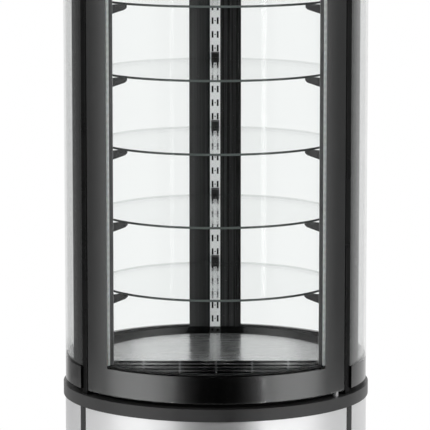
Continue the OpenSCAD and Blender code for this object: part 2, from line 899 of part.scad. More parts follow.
module condenser_coil() {
    color([0.5, 0.5, 0.51])
        translate([condenser_x, condenser_y + condenser_d / 2, z_condenser]) {
            coil_block(condenser_w, condenser_d, condenser_h, 8);
            for (x = [-1, 1])
                translate([x * condenser_w / 3, 0, -condenser_foot_h])
                    standing_box([condenser_foot_w, condenser_d - 4, condenser_foot_h + 1]);
        }
}

// Fan plate on the condenser's front with its ring, struts, motor and shaft
module condenser_shroud() {
    mouth_r = condenser_fan_r + fan_tip_gap;
    color([0.2, 0.2, 0.21])
        translate([condenser_x, condenser_y - shroud_t, z_condenser + condenser_h / 2])
            towards_back() {
                difference() {
                    union() {
                        translate([-condenser_w / 2, -condenser_h / 2, 0])
                            cube([condenser_w, condenser_h, shroud_t]);
                        translate([0, 0, -shroud_ring_l])
                            cylinder(r = mouth_r + shroud_ring_t, h = shroud_ring_l + 1);
                    }
                    translate([0, 0, -shroud_ring_l - 1])
                        cylinder(r = mouth_r, h = shroud_ring_l + shroud_t + 2);
                }
                translate([0, 0, -shroud_ring_l - motor_l + strut_t])
                    cylinder(r = motor_r, h = motor_l);
                translate([0, 0, -shroud_ring_l])
                    cylinder(r = shaft_r, h = shroud_ring_l - 2);
                for (turn = [0, 90])
                    rotate([0, 0, turn])
                        translate([-mouth_r - 1, -strut_w / 2, -shroud_ring_l])
                            cube([2 * mouth_r + 2, strut_w, strut_t]);
            }
}

module condenser_fan() {
    color([0.16, 0.16, 0.17])
        translate([
            condenser_x, condenser_y - shroud_t - shroud_ring_l + strut_t + motor_gap,
            z_condenser + condenser_h / 2
        ])
            towards_back()
                fan_rotor(condenser_fan_r, motor_r - 4, condenser_fan_l, 5, shaft_r + bore_clearance);
}

// A straight run of a copper line between two points along one axis
module line_run(from, to) {
    span = to - from;
    length = norm(span);
    turn = span[0] != 0 ? [0, sign(span[0]) * 90, 0] : [-sign(span[1]) * 90, 0, 0];
    translate(from)
        rotate(span[2] > 0 ? [0, 0, 0] : span[2] < 0 ? [180, 0, 0] : turn)
            cylinder(d = line_d, h = length);
}

// Copper lines with brazed corner joints: discharge, liquid and suction
module refrigerant_lines() {
    joint_r = line_d / 2 + 1;
    coil_back_y = condenser_y + condenser_d / 2;
    discharge_x = condenser_x - condenser_w / 2 + discharge_inset;
    discharge = [
        [pot_xy[0], pot_xy[1], z_pot + pot_h], [pot_xy[0], pot_xy[1], z_lines],
        [pot_xy[0], coil_back_y, z_lines], [discharge_x, coil_back_y, z_lines],
        [discharge_x, coil_back_y, z_condenser_top]
    ];
    liquid = [
        [liquid_xy[0], coil_back_y, z_condenser_top], [liquid_xy[0], coil_back_y, z_lines],
        [liquid_xy[0], liquid_xy[1], z_lines], [liquid_xy[0], liquid_xy[1], z_liner]
    ];
    suction_offset = norm(suction_xy - pot_xy) - line_d / 2;
    suction_end = z_pot + pot_h - dome_r + sqrt(pow(dome_r, 2) - pow(suction_offset, 2)) + seat_gap;
    color([0.72, 0.42, 0.25]) {
        for (route = [discharge, liquid]) {
            for (i = [0 : len(route) - 2])
                line_run(route[i], route[i + 1]);
            for (i = [1 : len(route) - 2])
                translate(route[i])
                    sphere(r = joint_r);
        }
        line_run([suction_xy[0], suction_xy[1], suction_end], [suction_xy[0], suction_xy[1], z_liner]);
    }
}

// Plate behind the rear skin's cut-out, with the rocker switch's housing
module control_panel() {
    housing_w = rocker_w + 2 * key_clearance + 2 * rocker_wall;
    hole_l = rocker_l + 1 + 2 * key_clearance;
    housing_l = hole_l + 2 * rocker_wall;
    housing_d = panel_t + rocker_depth + rocker_back_gap;
    color([0.13, 0.13, 0.135])
        translate([0, panel_y, z_panel])
            difference() {
                union() {
                    translate([-panel_w / 2, -panel_t, -panel_h / 2])
                        cube([panel_w, panel_t, panel_h]);
                    translate([rocker_x - housing_w / 2, -housing_d, -housing_l / 2])
                        cube([housing_w, housing_d, housing_l]);
                }
                translate([
                    rocker_x - rocker_w / 2 - key_clearance, -housing_d + rocker_wall, -hole_l / 2
                ])
                    cube([rocker_w + 2 * key_clearance, housing_d, hole_l]);
                translate([rocker_x - housing_w / 2 - 1, -panel_t, 0])
                    rotate([0, 90, 0])
                        cylinder(r = rocker_pin_r + bore_clearance, h = housing_w + 2);
                translate([thermostat_x - bezel_w / 2 + bezel_lap_x, -panel_t - 1, -bezel_h / 2 + bezel_lap_z])
                    cube([bezel_w - 2 * bezel_lap_x, panel_t + 2, bezel_h - 2 * bezel_lap_z]);
            }
}

module thermostat() {
    body_w = bezel_w - 2 * bezel_lap_x - 2 * hole_gap;
    body_h = bezel_h - 2 * bezel_lap_z - 2 * hole_gap;
    color([0.09, 0.09, 0.095])
        translate([thermostat_x, panel_y, z_panel])
            difference() {
                union() {
                    translate([-bezel_w / 2, 0, -bezel_h / 2])
                        cube([bezel_w, bezel_t, bezel_h]);
                    translate([-body_w / 2, -thermostat_d, -body_h / 2])
                        cube([body_w, thermostat_d + 1, body_h]);
                }
                translate([-bezel_w / 2 + display_x, bezel_t - display_depth, -display_h / 2])
                    cube([display_w, display_depth + 1, display_h]);
                for (i = [0 : 2])
                    translate([-bezel_w / 2 + key_column_x, bezel_t, key_offsets[i]])
                        key_solid(key_clearance, key_pocket);
            }
}

// One key, or with a clearance the pocket that it moves in
module key_solid(clearance, depth) {
    translate([-key_w / 2 - clearance, -depth, -key_h / 2 - clearance])
        cube([key_w + 2 * clearance, depth + key_proud, key_h + 2 * clearance]);
}

module thermostat_key(i) {
    color([0.6, 0.6, 0.62])
        translate([thermostat_x - bezel_w / 2 + key_column_x, panel_y + bezel_t, z_panel + key_offsets[i]])
            key_solid(0, key_depth);
}

module light_switch() {
    half_l = rocker_l / 2;
    color([0.14, 0.14, 0.14])
        translate([rocker_x, panel_y - panel_t, z_panel])
            rotate([-rocker_tilt, 0, 0]) {
                rotate([90, 0, 90])
                    translate([0, 0, -rocker_w / 2])
                        linear_extrude(height = rocker_w)
                            polygon([
                                [-rocker_depth + 1, -half_l + rocker_bevel],
                                [-rocker_depth + 1, half_l - rocker_bevel],
                                [rocker_rise, half_l - rocker_end_draft], [rocker_dip, 0],
                                [rocker_rise, -half_l + rocker_end_draft]
                            ]);
                translate([-rocker_w / 2 - rocker_wall, 0, 0])
                    rotate([0, 90, 0])
                        cylinder(r = rocker_pin_r, h = rocker_w + 2 * rocker_wall);
            }
}

module power_gland() {
    hex_r = gland_d / 2 + gland_hex_gap;
    nut_face_r = sqrt(pow(skin_in_r, 2) - pow(hex_r, 2)) - seat_gap / 2;
    color([0.1, 0.1, 0.1])
        facing(gland_az)
            translate([0, 0, z_gland])
                rotate([0, 90, 0])
                    difference() {
                        union() {
                            translate([0, 0, skin_r])
                                cylinder(r = hex_r, h = gland_head_h, $fn = 6);
                            translate([0, 0, nut_face_r - gland_nut_h])
                                cylinder(r = hex_r, h = gland_nut_h, $fn = 6);
                            translate([0, 0, nut_face_r - gland_nut_h - 3])
                                cylinder(d = gland_d, h = skin_r - nut_face_r + gland_nut_h + gland_head_h);
                        }
                        translate([0, 0, nut_face_r - gland_nut_h - 4])
                            cylinder(d = gland_bore_d, h = 60);
                    }
}

// The right front post; the left one is its mirror image without the hinge pocket
module front_post(hinged) {
    led_right = led_x + led_w + rim_gap;
    led_back = -led_front_y - led_d - rim_gap;
    low = z_glass - 1;
    high = z_upper + 1;
    difference() {
        union() {
            // The post is drawn a little long, and one cut trims both of its ends.
            difference() {
                union() {
                    sector(post_in_r, seat_r, door_az - post_lap_az, post_end_az, low, high);
                    sector(
                        seat_r - 1, inner_pane_in_r - seat_gap, nose_from_az, post_end_az, low, high
                    );
                }
                translate([flange_x - 2 * glass_r, -glass_r, low - 1])
                    cube([2 * glass_r, glass_r, high - low + 2]);
                translate([0, -glass_r, low - 1])
                    cube([led_right, glass_r - led_back, high - low + 2]);
                ring(post_in_r - 1, glass_r, low - 1, z_glass);
                ring(post_in_r - 1, glass_r, z_upper, high + 1);
            }
            sector(seat_r + seat_gap, nose_r, nose_from_az, nose_to_az, z_frame, z_upper_top);
            sector(recess_r + seat_gap, nose_r, nose_from_az, nose_to_az, z_gap, z_canopy);
        }
        if (hinged) {
            hinge_pocket(z_glass, z_upper);
            difference() {
                translate([hinge_xy[0], hinge_xy[1], z_gap - 1])
                    cylinder(r = swing_r, h = z_canopy - z_gap + 2);
                translate([0, 0, z_gap - 2])
                    cylinder(r = seat_r - 2, h = z_canopy - z_gap + 4);
            }
        }
    }
}

module right_front_post() {
    color([0.05, 0.05, 0.05])
        front_post(true);
}

module left_front_post() {
    color([0.05, 0.05, 0.05])
        mirror([1, 0, 0])
            front_post(false);
}

module rear_post() {
    color([0.07, 0.07, 0.07])
        difference() {
            intersection() {
                translate([-rear_post_half_w, rear_post_y, z_glass])
                    cube([2 * rear_post_half_w, glass_r - rear_post_y + 5, glass_h]);
                translate([0, 0, z_glass - 1])
                    cylinder(r = glass_r, h = glass_h + 2);
            }
            for (az = [rear_glass_az - 20, 360 - rear_glass_az - seam_gap_az])
                sector(
                    inner_pane_in_r - seat_gap, glass_r + 5, az, az + 20 + seam_gap_az,
                    z_glass - 1, z_upper + 1
                );
        }
}

// A slotted strip that stands on Z = 0 with its back on the YZ plane
module slotted_strip(width, columns, holes) {
    difference() {
        translate([-strip_t, -width / 2, z_glass])
            cube([strip_t, width, glass_h]);
        for (k = [-slots_below : slots_above]) {
            z_slot = z_first_slot + k * slot_pitch;
            for (y = columns)
                translate([-strip_t - 1, y - slot_w / 2, z_slot - slot_l / 2])
                    cube([strip_t + 2, slot_w, slot_l]);
            if (holes)
                translate([-strip_t - 1, 0, z_slot])
                    rotate([0, 90, 0])
                        cylinder(d = strip_hole_d, h = strip_t + 2);
        }
    }
}

module shelf_strips() {
    color([0.78, 0.78, 0.79]) {
        for (az = [-bracket_az, bracket_az])
            facing(az)
                translate([front_strip_r + strip_t, 0, 0])
                    slotted_strip(front_strip_w, [0], false);
        facing(180)
            translate([rear_post_y, 0, 0])
                slotted_strip(rear_strip_w, [-slot_column_x, slot_column_x], true);
    }
}

// A cantilever bracket that hooks into a front strip; its top carries the shelf
module shelf_bracket() {
    tip_r = shelf_r - bracket_reach;
    nose = 6;
    neck = 8;
    neck_rise = 1.5;
    neck_r = front_strip_r - neck;
    mid_h = bracket_tip_h + nose * 0.7;
    rotate([90, 0, 0])
        translate([0, 0, -bracket_t / 2])
            linear_extrude(height = bracket_t)
                polygon([
                    [tip_r, 0], [tip_r, -bracket_tip_h], [tip_r + nose, -mid_h],
                    [neck_r, -bracket_root_h + neck_rise], [front_strip_r, -bracket_root_h], [front_strip_r, 0]
                ]);
    translate([front_strip_r - 1, -bracket_t / 2, shelf_t / 2 - slot_drop - tab_h / 2])
        cube([strip_t + tab_clearance + 1, bracket_t, tab_h]);
}

module shelf_brackets() {
    color([0.07, 0.07, 0.07])
        for (az = [-bracket_az, bracket_az], i = [1 : shelf_count])
            facing(az)
                translate([0, 0, shelf_z(i) - shelf_t / 2])
                    shelf_bracket();
}

// A clip that holds a shelf's back edge and hooks into the rear strip
module shelf_clips() {
    clip_tab_h = tab_h / 2;
    front_y = shelf_r - clip_reach;
    color([0.06, 0.06, 0.06])
        for (i = [1 : shelf_count])
            translate([0, 0, shelf_z(i)]) {
                difference() {
                    translate([-clip_w / 2, front_y, -clip_down])
                        cube([clip_w, rear_strip_y - front_y, clip_down + clip_up]);
                    translate([0, 0, -shelf_t / 2])
                        cylinder(r = shelf_r + rim_gap, h = shelf_t + 2 * seat_gap);
                }
                for (x = [-slot_column_x, slot_column_x])
                    translate([x - bracket_t / 2, rear_strip_y - 1, -clip_down + 0.2])
                        cube([bracket_t, strip_t - tab_clearance + 1, clip_tab_h]);
            }
}

module glass_shelf(i) {
    r = shelf_r;
    c = shelf_chamfer;
    color([0.78, 0.88, 0.87, 0.5])
        translate([0, 0, shelf_z(i) - shelf_t / 2])
            rotate_extrude()
                polygon([[0, 0], [r - c, 0], [r, c], [r, shelf_t - c], [r - c, shelf_t], [0, shelf_t]]);
}

module side_outer_glass() {
    color([0.8, 0.86, 0.86, 0.4])
        for (az = [side_glass_az, 360 - rear_glass_az])
            sector(outer_pane_in_r, glass_r, az, az + rear_glass_az - side_glass_az, z_pane, z_pane_top);
}

module side_inner_glass() {
    color([0.8, 0.86, 0.86, 0.4])
        for (az = [side_glass_az, 360 - rear_glass_az])
            sector(
                inner_pane_in_r, inner_pane_out_r, az, az + rear_glass_az - side_glass_az, z_pane, z_pane_top
            );
}

// The black spacer frames between the side panes, wide beside the front posts
module side_glass_bands() {
    color([0.06, 0.06, 0.06]) {
        curved_frame(
            band_in_r, band_out_r, side_glass_az, rear_glass_az, z_pane, z_pane_top,
            side_band_az, rear_band_az, spacer_h
        );
        curved_frame(
            band_in_r, band_out_r, 360 - rear_glass_az, 360 - side_glass_az, z_pane, z_pane_top,
            rear_band_az, side_band_az, spacer_h
        );
    }
}

// Channel with a back wall on the post's side and a rear leg
module led_channels() {
    color([0.72, 0.72, 0.73])
        for (side = [-1, 1])
            translate([side * (led_x + led_w / 2), led_front_y, z_glass]) {
                translate([side > 0 ? led_w / 2 - led_wall : -led_w / 2, 0, 0])
                    cube([led_wall, led_d, glass_h]);
                translate([-led_w / 2, led_d - led_wall, 0])
                    cube([led_w, led_wall, glass_h]);
            }
}

// Opal lens with a rounded inner front corner
module led_lenses() {
    lens_w = led_w - led_wall - rim_gap;
    lens_d = led_d - led_wall - rim_gap;
    round_r = lens_w / 2;
    color([0.9, 0.9, 0.88])
        for (side = [-1, 1])
            translate([side * led_x, led_front_y, z_glass])
                scale([side, 1, 1])
                    intersection() {
                        cube([lens_w, lens_d, glass_h]);
                        union() {
                            translate([round_r, round_r, -1])
                                cylinder(r = round_r, h = glass_h + 2);
                            translate([round_r, -1, -1])
                                cube([lens_w, lens_d + 2, glass_h + 2]);
                            translate([-1, round_r, -1])
                                cube([lens_w + 2, lens_d + 2, glass_h + 2]);
                        }
                    }
}

// The lower and upper pins with their bright sleeves in the shadow gaps
module hinge_pins() {
    color([0.82, 0.82, 0.83])
        translate([hinge_xy[0], hinge_xy[1], 0]) {
            translate([0, 0, z_top_ring])
                cylinder(d = hinge_pin_d, h = z_frame + hinge_pin_l - z_top_ring);
            translate([0, 0, z_gap])
                cylinder(d = hinge_sleeve_d, h = shadow_gap);
            translate([0, 0, z_upper_top - hinge_pin_l])
                cylinder(d = hinge_pin_d, h = hinge_pin_l + shadow_gap + collar_plate_t + 1);
            translate([0, 0, z_upper_top])
                cylinder(d = hinge_sleeve_d, h = shadow_gap);
            translate([0, 0, z_canopy + collar_plate_t])
                cylinder(d = hinge_sleeve_d, h = hinge_nut_h, $fn = 6);
        }
}

module upper_frame() {
    ledge_in_r = sill_in_r - ceiling_ledge_w;
    color([0.07, 0.07, 0.075])
        difference() {
            union() {
                rotate_extrude()
                    polygon([
                        [ledge_in_r, z_upper], [seat_r, z_upper], [seat_r, z_upper_top],
                        [recess_r, z_upper_top], [recess_r, z_canopy], [sill_in_r, z_canopy],
                        [sill_in_r, z_upper + ceiling_ledge_h], [ledge_in_r, z_upper + ceiling_ledge_h]
                    ]);
                sector(seat_r - 1, glass_r, side_glass_az, 360 - side_glass_az, z_upper, z_upper_top);
            }
            hinge_pocket(z_upper, z_upper_top - 1);
            pane_grooves(z_upper - 1, z_pane_top);
        }
}

module ceiling_panel() {
    color([0.85, 0.85, 0.85])
        translate([0, 0, z_upper + ceiling_ledge_h])
            cylinder(r = sill_in_r - seat_gap, h = ceiling_t);
}

module canopy_collar() {
    color([0.08, 0.08, 0.085])
        difference() {
            rotate_extrude()
                polygon([
                    [collar_in_r, z_canopy], [collar_r, z_canopy], [collar_r, z_canopy_skin],
                    [collar_wall_r, z_canopy_skin], [collar_wall_r, z_canopy + collar_plate_t],
                    [collar_in_r, z_canopy + collar_plate_t]
                ]);
            translate([hinge_xy[0], hinge_xy[1], z_canopy - 1])
                cylinder(r = hinge_pin_d / 2 + bore_clearance, h = collar_plate_t + 2);
        }
}

module canopy_cover() {
    bevel = 2;
    color([0.8, 0.8, 0.81])
        rotate_extrude()
            polygon([
                [0, z_top - skin_t], [skin_in_r, z_top - skin_t], [skin_in_r, z_canopy + collar_plate_t],
                [skin_r, z_canopy + collar_plate_t], [skin_r, z_top - bevel], [skin_r - bevel, z_top], [0, z_top]
            ]);
}

module door_outer_glass() {
    color([0.8, 0.86, 0.86, 0.4])
        sector(outer_pane_in_r, glass_r, -door_az, door_az, z_door, z_door_top);
}

module door_inner_glass() {
    edge_az = door_stile_in_az - 0.1;
    color([0.8, 0.86, 0.86, 0.4])
        sector(
            inner_pane_in_r, inner_pane_out_r, -edge_az, edge_az,
            z_door + door_rail_h + seat_gap, z_door_top - door_rail_h - seat_gap
        );
}

module door_frame() {
    stile = door_stile_out_az - door_stile_in_az;
    color([0.06, 0.06, 0.06])
        difference() {
            curved_frame(
                inner_pane_in_r, door_frame_out_r, -door_stile_out_az, door_stile_out_az,
                z_door, z_door_top, stile, stile, door_rail_h
            );
            for (z = [z_door - 1, z_door_top - hinge_pin_l - 2])
                translate([hinge_xy[0], hinge_xy[1], z])
                    cylinder(r = hinge_pin_d / 2 + bore_clearance, h = hinge_pin_l + 3);
        }
}

// Thin black film behind the outer pane's border
module door_border() {
    color([0.04, 0.04, 0.045])
        curved_frame(
            film_in_r, film_out_r, -door_az, door_az, z_door, z_door_top,
            door_border_az, door_border_az, door_border_h
        );
}

module door_gasket() {
    edge_az = hinge_az - gasket_lap_az;
    color([0.1, 0.1, 0.1])
        curved_frame(
            seat_r + seat_gap, inner_pane_in_r - seat_gap, -edge_az, edge_az,
            z_door + gasket_inset, z_door_top - gasket_inset, gasket_az, gasket_az, gasket_h
        );
}

levelling_foot(0);  // levelling_foot_front_left
levelling_foot(1);  // levelling_foot_front_right
levelling_foot(2);  // levelling_foot_rear_right
levelling_foot(3);  // levelling_foot_rear_left
base_plate();
base_frame();
base_rear_skin();
base_front_panel();
base_seam_strips();
screws();
collar_ring();
tub_shell();
tub_insulation();
tub_liner();
lower_frame();
deck();
deck_grille();
evaporator_coil();
evaporator_fan_frame();
evaporator_fan();
drain_pipe();
drip_tray();
compressor();
condenser_coil();
condenser_shroud();
condenser_fan();
refrigerant_lines();
control_panel();
thermostat();
thermostat_key(0);  // set_key
thermostat_key(1);  // up_key
thermostat_key(2);  // down_key
light_switch();
power_gland();
left_front_post();
right_front_post();
rear_post();
shelf_strips();
shelf_brackets();
shelf_clips();
glass_shelf(1);  // shelf_1
glass_shelf(2);  // shelf_2
glass_shelf(3);  // shelf_3
glass_shelf(4);  // shelf_4
glass_shelf(5);  // shelf_5
side_outer_glass();
side_inner_glass();
side_glass_bands();
led_channels();
led_lenses();
hinge_pins();
upper_frame();
ceiling_panel();
canopy_collar();
canopy_cover();
door_outer_glass();
door_inner_glass();
door_frame();
door_border();
door_gasket();
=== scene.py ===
import math

import bmesh
import bpy
from mathutils import Matrix, Vector


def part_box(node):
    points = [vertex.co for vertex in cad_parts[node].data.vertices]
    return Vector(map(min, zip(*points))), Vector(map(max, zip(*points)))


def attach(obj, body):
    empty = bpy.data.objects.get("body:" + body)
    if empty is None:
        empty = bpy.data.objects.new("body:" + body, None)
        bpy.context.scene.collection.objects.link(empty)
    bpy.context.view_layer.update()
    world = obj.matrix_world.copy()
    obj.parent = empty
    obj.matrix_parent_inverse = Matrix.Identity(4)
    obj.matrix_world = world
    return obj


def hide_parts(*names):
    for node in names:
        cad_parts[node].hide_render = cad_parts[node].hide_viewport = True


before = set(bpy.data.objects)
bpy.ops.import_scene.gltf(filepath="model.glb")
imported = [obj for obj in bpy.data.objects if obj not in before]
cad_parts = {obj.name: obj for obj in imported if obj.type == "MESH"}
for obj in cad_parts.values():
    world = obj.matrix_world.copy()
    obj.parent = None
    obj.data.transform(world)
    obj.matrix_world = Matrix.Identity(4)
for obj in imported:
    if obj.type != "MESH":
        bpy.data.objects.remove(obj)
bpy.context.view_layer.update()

scene = bpy.context.scene

# Sizes of the solids that materials and added pieces follow, in metres
GLASS_RADIUS = 0.34
GLASS_FOOT = 0.573
SKIN_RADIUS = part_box("canopy_cover")[1][0]
SHELF_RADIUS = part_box("shelf_1")[1][0]
# A front post's flange ends this far from the middle plane
FLANGE_EDGE = 0.2345
# The grille's ribs, and half of its width
RIB_PITCH = 0.081
RIB_HALF = 0.0024
GRILLE_HALF = 0.25

# Camera, fitted to the photograph
CAMERA_PLACE = (-0.0365, -6.7523, 1.8569)
CAMERA_TILT = math.radians(81.7647)
CAMERA_TURN = math.radians(-0.31)
SENSOR_WIDTH = 36.0
FOCAL_LENGTH = 253.46
CAMERA_SHIFT = (-0.00186, 0.00116)
CLIP_END = 60.0
camera_data = bpy.data.cameras.new("camera")
camera_data.sensor_width = SENSOR_WIDTH
camera_data.lens = FOCAL_LENGTH
camera_data.shift_x, camera_data.shift_y = CAMERA_SHIFT
camera_data.clip_end = CLIP_END
camera = bpy.data.objects.new("camera", camera_data)
camera.location = CAMERA_PLACE
camera.rotation_euler = (CAMERA_TILT, 0.0, CAMERA_TURN)
scene.collection.objects.link(camera)
scene.camera = camera
scene.view_settings.view_transform = "Standard"
# A view crosses many panes, each with two faces
scene.cycles.transparent_max_bounces = 64
scene.cycles.max_bounces = 14


# Helpers for the shaders
class Tree:
    """A node tree of a material or the world, with short calls for its nodes."""

    def __init__(self, owner):
        owner.use_nodes = True
        self.owner = owner
        self.tree = owner.node_tree
        self.tree.nodes.clear()

    def add(self, kind, inputs=None, **settings):
        node = self.tree.nodes.new(kind)
        for name, value in settings.items():
            setattr(node, name, value)
        for name, value in (inputs or {}).items():
            self.put(node.inputs[name], value)
        return node

    def put(self, socket, value):
        """Links a node or socket to an input, or sets the input's own value."""
        if isinstance(value, bpy.types.Node):
            value = value.outputs[0]
        if isinstance(value, bpy.types.NodeSocket):
            self.tree.links.new(value, socket)
        else:
            socket.default_value = value

    def math(self, operation, *values):
        return self.add("ShaderNodeMath", dict(enumerate(values)), operation=operation).outputs[0]

    def spread(self, value, low, high, start=0.3, end=0.7):
        """Maps start to end onto low to high, and holds the ends. Noise mostly lies in 0.3 to 0.7."""
        return self.add("ShaderNodeMapRange", {
            "Value": value, "From Min": start, "From Max": end,
            "To Min": low, "To Max": high}).outputs[0]

    def ramp(self, factor, stops):
        node = self.tree.nodes.new("ShaderNodeValToRGB")
        elements = node.color_ramp.elements
        while len(elements) < len(stops):
            elements.new(1.0)
        for element, (place, colour) in zip(elements, stops):
            element.position = place
            element.color = colour if len(colour) == 4 else (*colour, 1.0)
        self.put(node.inputs[0], factor)
        return node.outputs[0]

    def tone(self, factor, low, high):
        """A colour that runs between two others with a noise."""
        return self.ramp(factor, [(0.3, low), (0.7, high)])

    def mix(self, factor, first, second, blend="MIX"):
        return self.add("ShaderNodeMixRGB", {
            "Fac": factor, "Color1": first, "Color2": second}, blend_type=blend).outputs[0]

    def mix_shaders(self, factor, first, second):
        return self.add("ShaderNodeMixShader", {"Fac": factor, 1: first, 2: second})

    def axes(self, vector):
        return self.add("ShaderNodeSeparateXYZ", {0: vector}).outputs

    def scaled(self, vector, scale):
        return self.add("ShaderNodeVectorMath", {0: vector, 1: scale}, operation="MULTIPLY").outputs[0]

    def noise(self, vector, scale, detail=3.0, roughness=0.5):
        return self.add("ShaderNodeTexNoise", {
            "Vector": vector, "Scale": scale, "Detail": detail, "Roughness": roughness}).outputs["Fac"]

    def bump(self, height, distance):
        return self.add("ShaderNodeBump", {"Height": height, "Distance": distance}).outputs[0]

    def coordinates(self):
        return self.add("ShaderNodeTexCoord").outputs["Object"]

    def true_normal_axes(self):
        return self.axes(self.add("ShaderNodeNewGeometry").outputs["True Normal"])

    def surface(self, shader):
        world_tree = isinstance(self.owner, bpy.types.World)
        out = self.add("ShaderNodeOutputWorld" if world_tree else "ShaderNodeOutputMaterial")
        self.put(out.inputs["Surface"], shader)


def grey(value):
    """A neutral tone, a trace toward blue."""
    return (value, value, value * 1.01)


def even(value):
    """A plain grey level with its alpha."""
    return (value, value, value, 1)


def around_axis(tree, vector):
    """Coordinates with the arc length round the case's own axis, the height and the radius."""
    x, y, z = tree.axes(vector)
    angle = tree.math("ARCTAN2", x, tree.math("MULTIPLY", y, -1.0))
    radius = tree.math(
        "SQRT", tree.math("ADD", tree.math("MULTIPLY", x, x), tree.math("MULTIPLY", y, y)))
    arc = tree.math("MULTIPLY", angle, GLASS_RADIUS)
    return tree.add("ShaderNodeCombineXYZ", {0: arc, 1: z, 2: radius}).outputs[0]


def brushed(name, colour, roughness, grain, wrapped=False, metallic=1.0, across=None, stretch=0.8,
            painted_side_shade=None):
    """Brushed metal: fine lines stretched along one direction, soft stains, a tiny bump, and painted shade
    toward the sides where asked.
    """
    wear = 0.015
    tree = Tree(bpy.data.materials.new(name))
    place = tree.coordinates()
    if wrapped:
        place = around_axis(tree, place)
    lines = tree.noise(tree.scaled(place, grain), 1.0, 4.0, 0.65)
    stains = tree.noise(place, 9.0, 4.0, 0.6)
    mixed = tree.math("ADD", tree.math("MULTIPLY", lines, 0.7), tree.math("MULTIPLY", stains, 0.3))
    base = tree.tone(
        mixed, tuple(c * (1 - 2 * wear) for c in colour), tuple(min(1.0, c * (1 + wear)) for c in colour))
    # Painted shade: the base colour darkens with the distance from the middle plane
    if painted_side_shade:
        # A ramp runs from 0 to 1, so the distance and its stops are stretched alike
        ramp_scale = 3.0
        side = tree.math("ABSOLUTE", tree.axes(place)[0])
        shade = tree.ramp(
            tree.math("MULTIPLY", side, ramp_scale),
            [(ramp_scale * x, (v, v, v)) for x, v in painted_side_shade])
        base = tree.mix(1.0, base, shade, "MULTIPLY")
    shader = tree.add("ShaderNodeBsdfPrincipled", {
        "Base Color": base, "Roughness": tree.spread(mixed, roughness * 0.8, roughness * 1.25),
        "Metallic": metallic, "Normal": tree.bump(lines, 0.000004)})
    if across:
        tree.put(shader.inputs["Anisotropic"], stretch)
        tree.put(shader.inputs["Tangent"], tree.add("ShaderNodeCombineXYZ", dict(enumerate(across))))
    tree.surface(shader)
    return tree.owner


def coated(name, colour, roughness, specular=0.5, texture=0.00001, scale=900.0, wear=0.25, ior=1.5):
    """Paint or moulded plastic: faint blotches, uneven gloss and a fine skin texture."""
    tree = Tree(bpy.data.materials.new(name))
    place = tree.coordinates()
    skin = tree.noise(place, scale, 2.0)
    blotches = tree.noise(place, 14.0, 5.0, 0.6)
    low = tuple(c * (1 - wear) for c in colour)
    high = tuple(min(1.0, c * (1 + wear)) for c in colour)
    tree.surface(tree.add("ShaderNodeBsdfPrincipled", {
        "Base Color": tree.tone(blotches, low, high),
        "Roughness": tree.spread(blotches, roughness * 0.85, roughness * 1.2),
        "Specular IOR Level": specular, "IOR": ior, "Normal": tree.bump(skin, texture)}))
    return tree.owner


def clear_face(tree, tint, roughness, facing):
    """A pane's face: it lets the light through, and mirrors more of it at a grazing view."""
    mirrored_face_on = 0.005
    edge = tree.math("POWER", facing, 5.0)
    share = tree.math("ADD", mirrored_face_on, tree.math("MULTIPLY", edge, 1 - mirrored_face_on))
    clear = tree.add("ShaderNodeBsdfTransparent", {"Color": tint})
    gloss = tree.add("ShaderNodeBsdfGlossy", {"Color": even(1), "Roughness": roughness})
    return tree.mix_shaders(share, clear, gloss)


def facing_away(tree):
    """0 where a surface faces the viewer, up to 1 at its outline."""
    return tree.add("ShaderNodeLayerWeight", {"Blend": 0.5}).outputs["Facing"]


def pane(name, clear, grazing):
    """Clear float glass: nearly no colour face on, a deeper tint at a grazing view, a little dust."""
    tree = Tree(bpy.data.materials.new(name))
    facing = facing_away(tree)
    tint = tree.ramp(facing, [(0.0, clear), (0.45, clear), (0.8, grazing), (1.0, grazing)])
    dust_limit, dust_share = 0.62, 0.004
    dust = tree.noise(tree.coordinates(), 60.0, 5.0, 0.7)
    film = tree.math("MULTIPLY", tree.math("GREATER_THAN", dust, dust_limit), dust_share)
    haze = tree.add("ShaderNodeBsdfDiffuse", {"Color": even(0.8)})
    tree.surface(tree.mix_shaders(film, clear_face(tree, tint, 0.02, facing), haze))
    return tree.owner


def shelf_pane(name):
    """Shelf glass: clear faces, and a dark grey-green ground rim picked out by the surface's own normal,
    with painted light on the rim, paler in its middle and darker toward its sides.
    """
    tree = Tree(bpy.data.materials.new(name))
    face = clear_face(tree, (0.985, 0.99, 0.989, 1), 0.015, facing_away(tree))
    place = tree.coordinates()
    x, y, _ = tree.axes(place)
    side = tree.math("MULTIPLY", tree.math("ABSOLUTE", x), 1 / SHELF_RADIUS)
    streaks = tree.noise(tree.scaled(around_axis(tree, place), (60.0, 900.0, 1.0)), 1.0, 3.0)
    # Painted light: the rim's colour is paler in the middle of the shelf and darker toward its sides
    light = tree.ramp(side, [
        (0.0, (0.075, 0.085, 0.082)), (0.35, (0.05, 0.058, 0.056)),
        (0.75, (0.012, 0.015, 0.014)), (1.0, (0.006, 0.008, 0.007))])
    rim = tree.add("ShaderNodeBsdfPrincipled", {
        "Base Color": tree.mix(tree.math("MULTIPLY", streaks, 0.3), light, (0.09, 0.11, 0.10, 1)),
        "Roughness": 0.3, "Specular IOR Level": 0.4})
    upright = tree.math("LESS_THAN", tree.math("ABSOLUTE", tree.true_normal_axes()[2]), 0.9)
    # The rear half of the ground rim passes the light from behind
    rear = tree.math("MULTIPLY", tree.math("GREATER_THAN", y, -0.02), 0.75)
    glow = tree.add("ShaderNodeBsdfTransparent", {"Color": (0.8, 0.815, 0.812, 1)})
    tree.surface(tree.mix_shaders(upright, face, tree.mix_shaders(rear, rim, glow)))
    return tree.owner


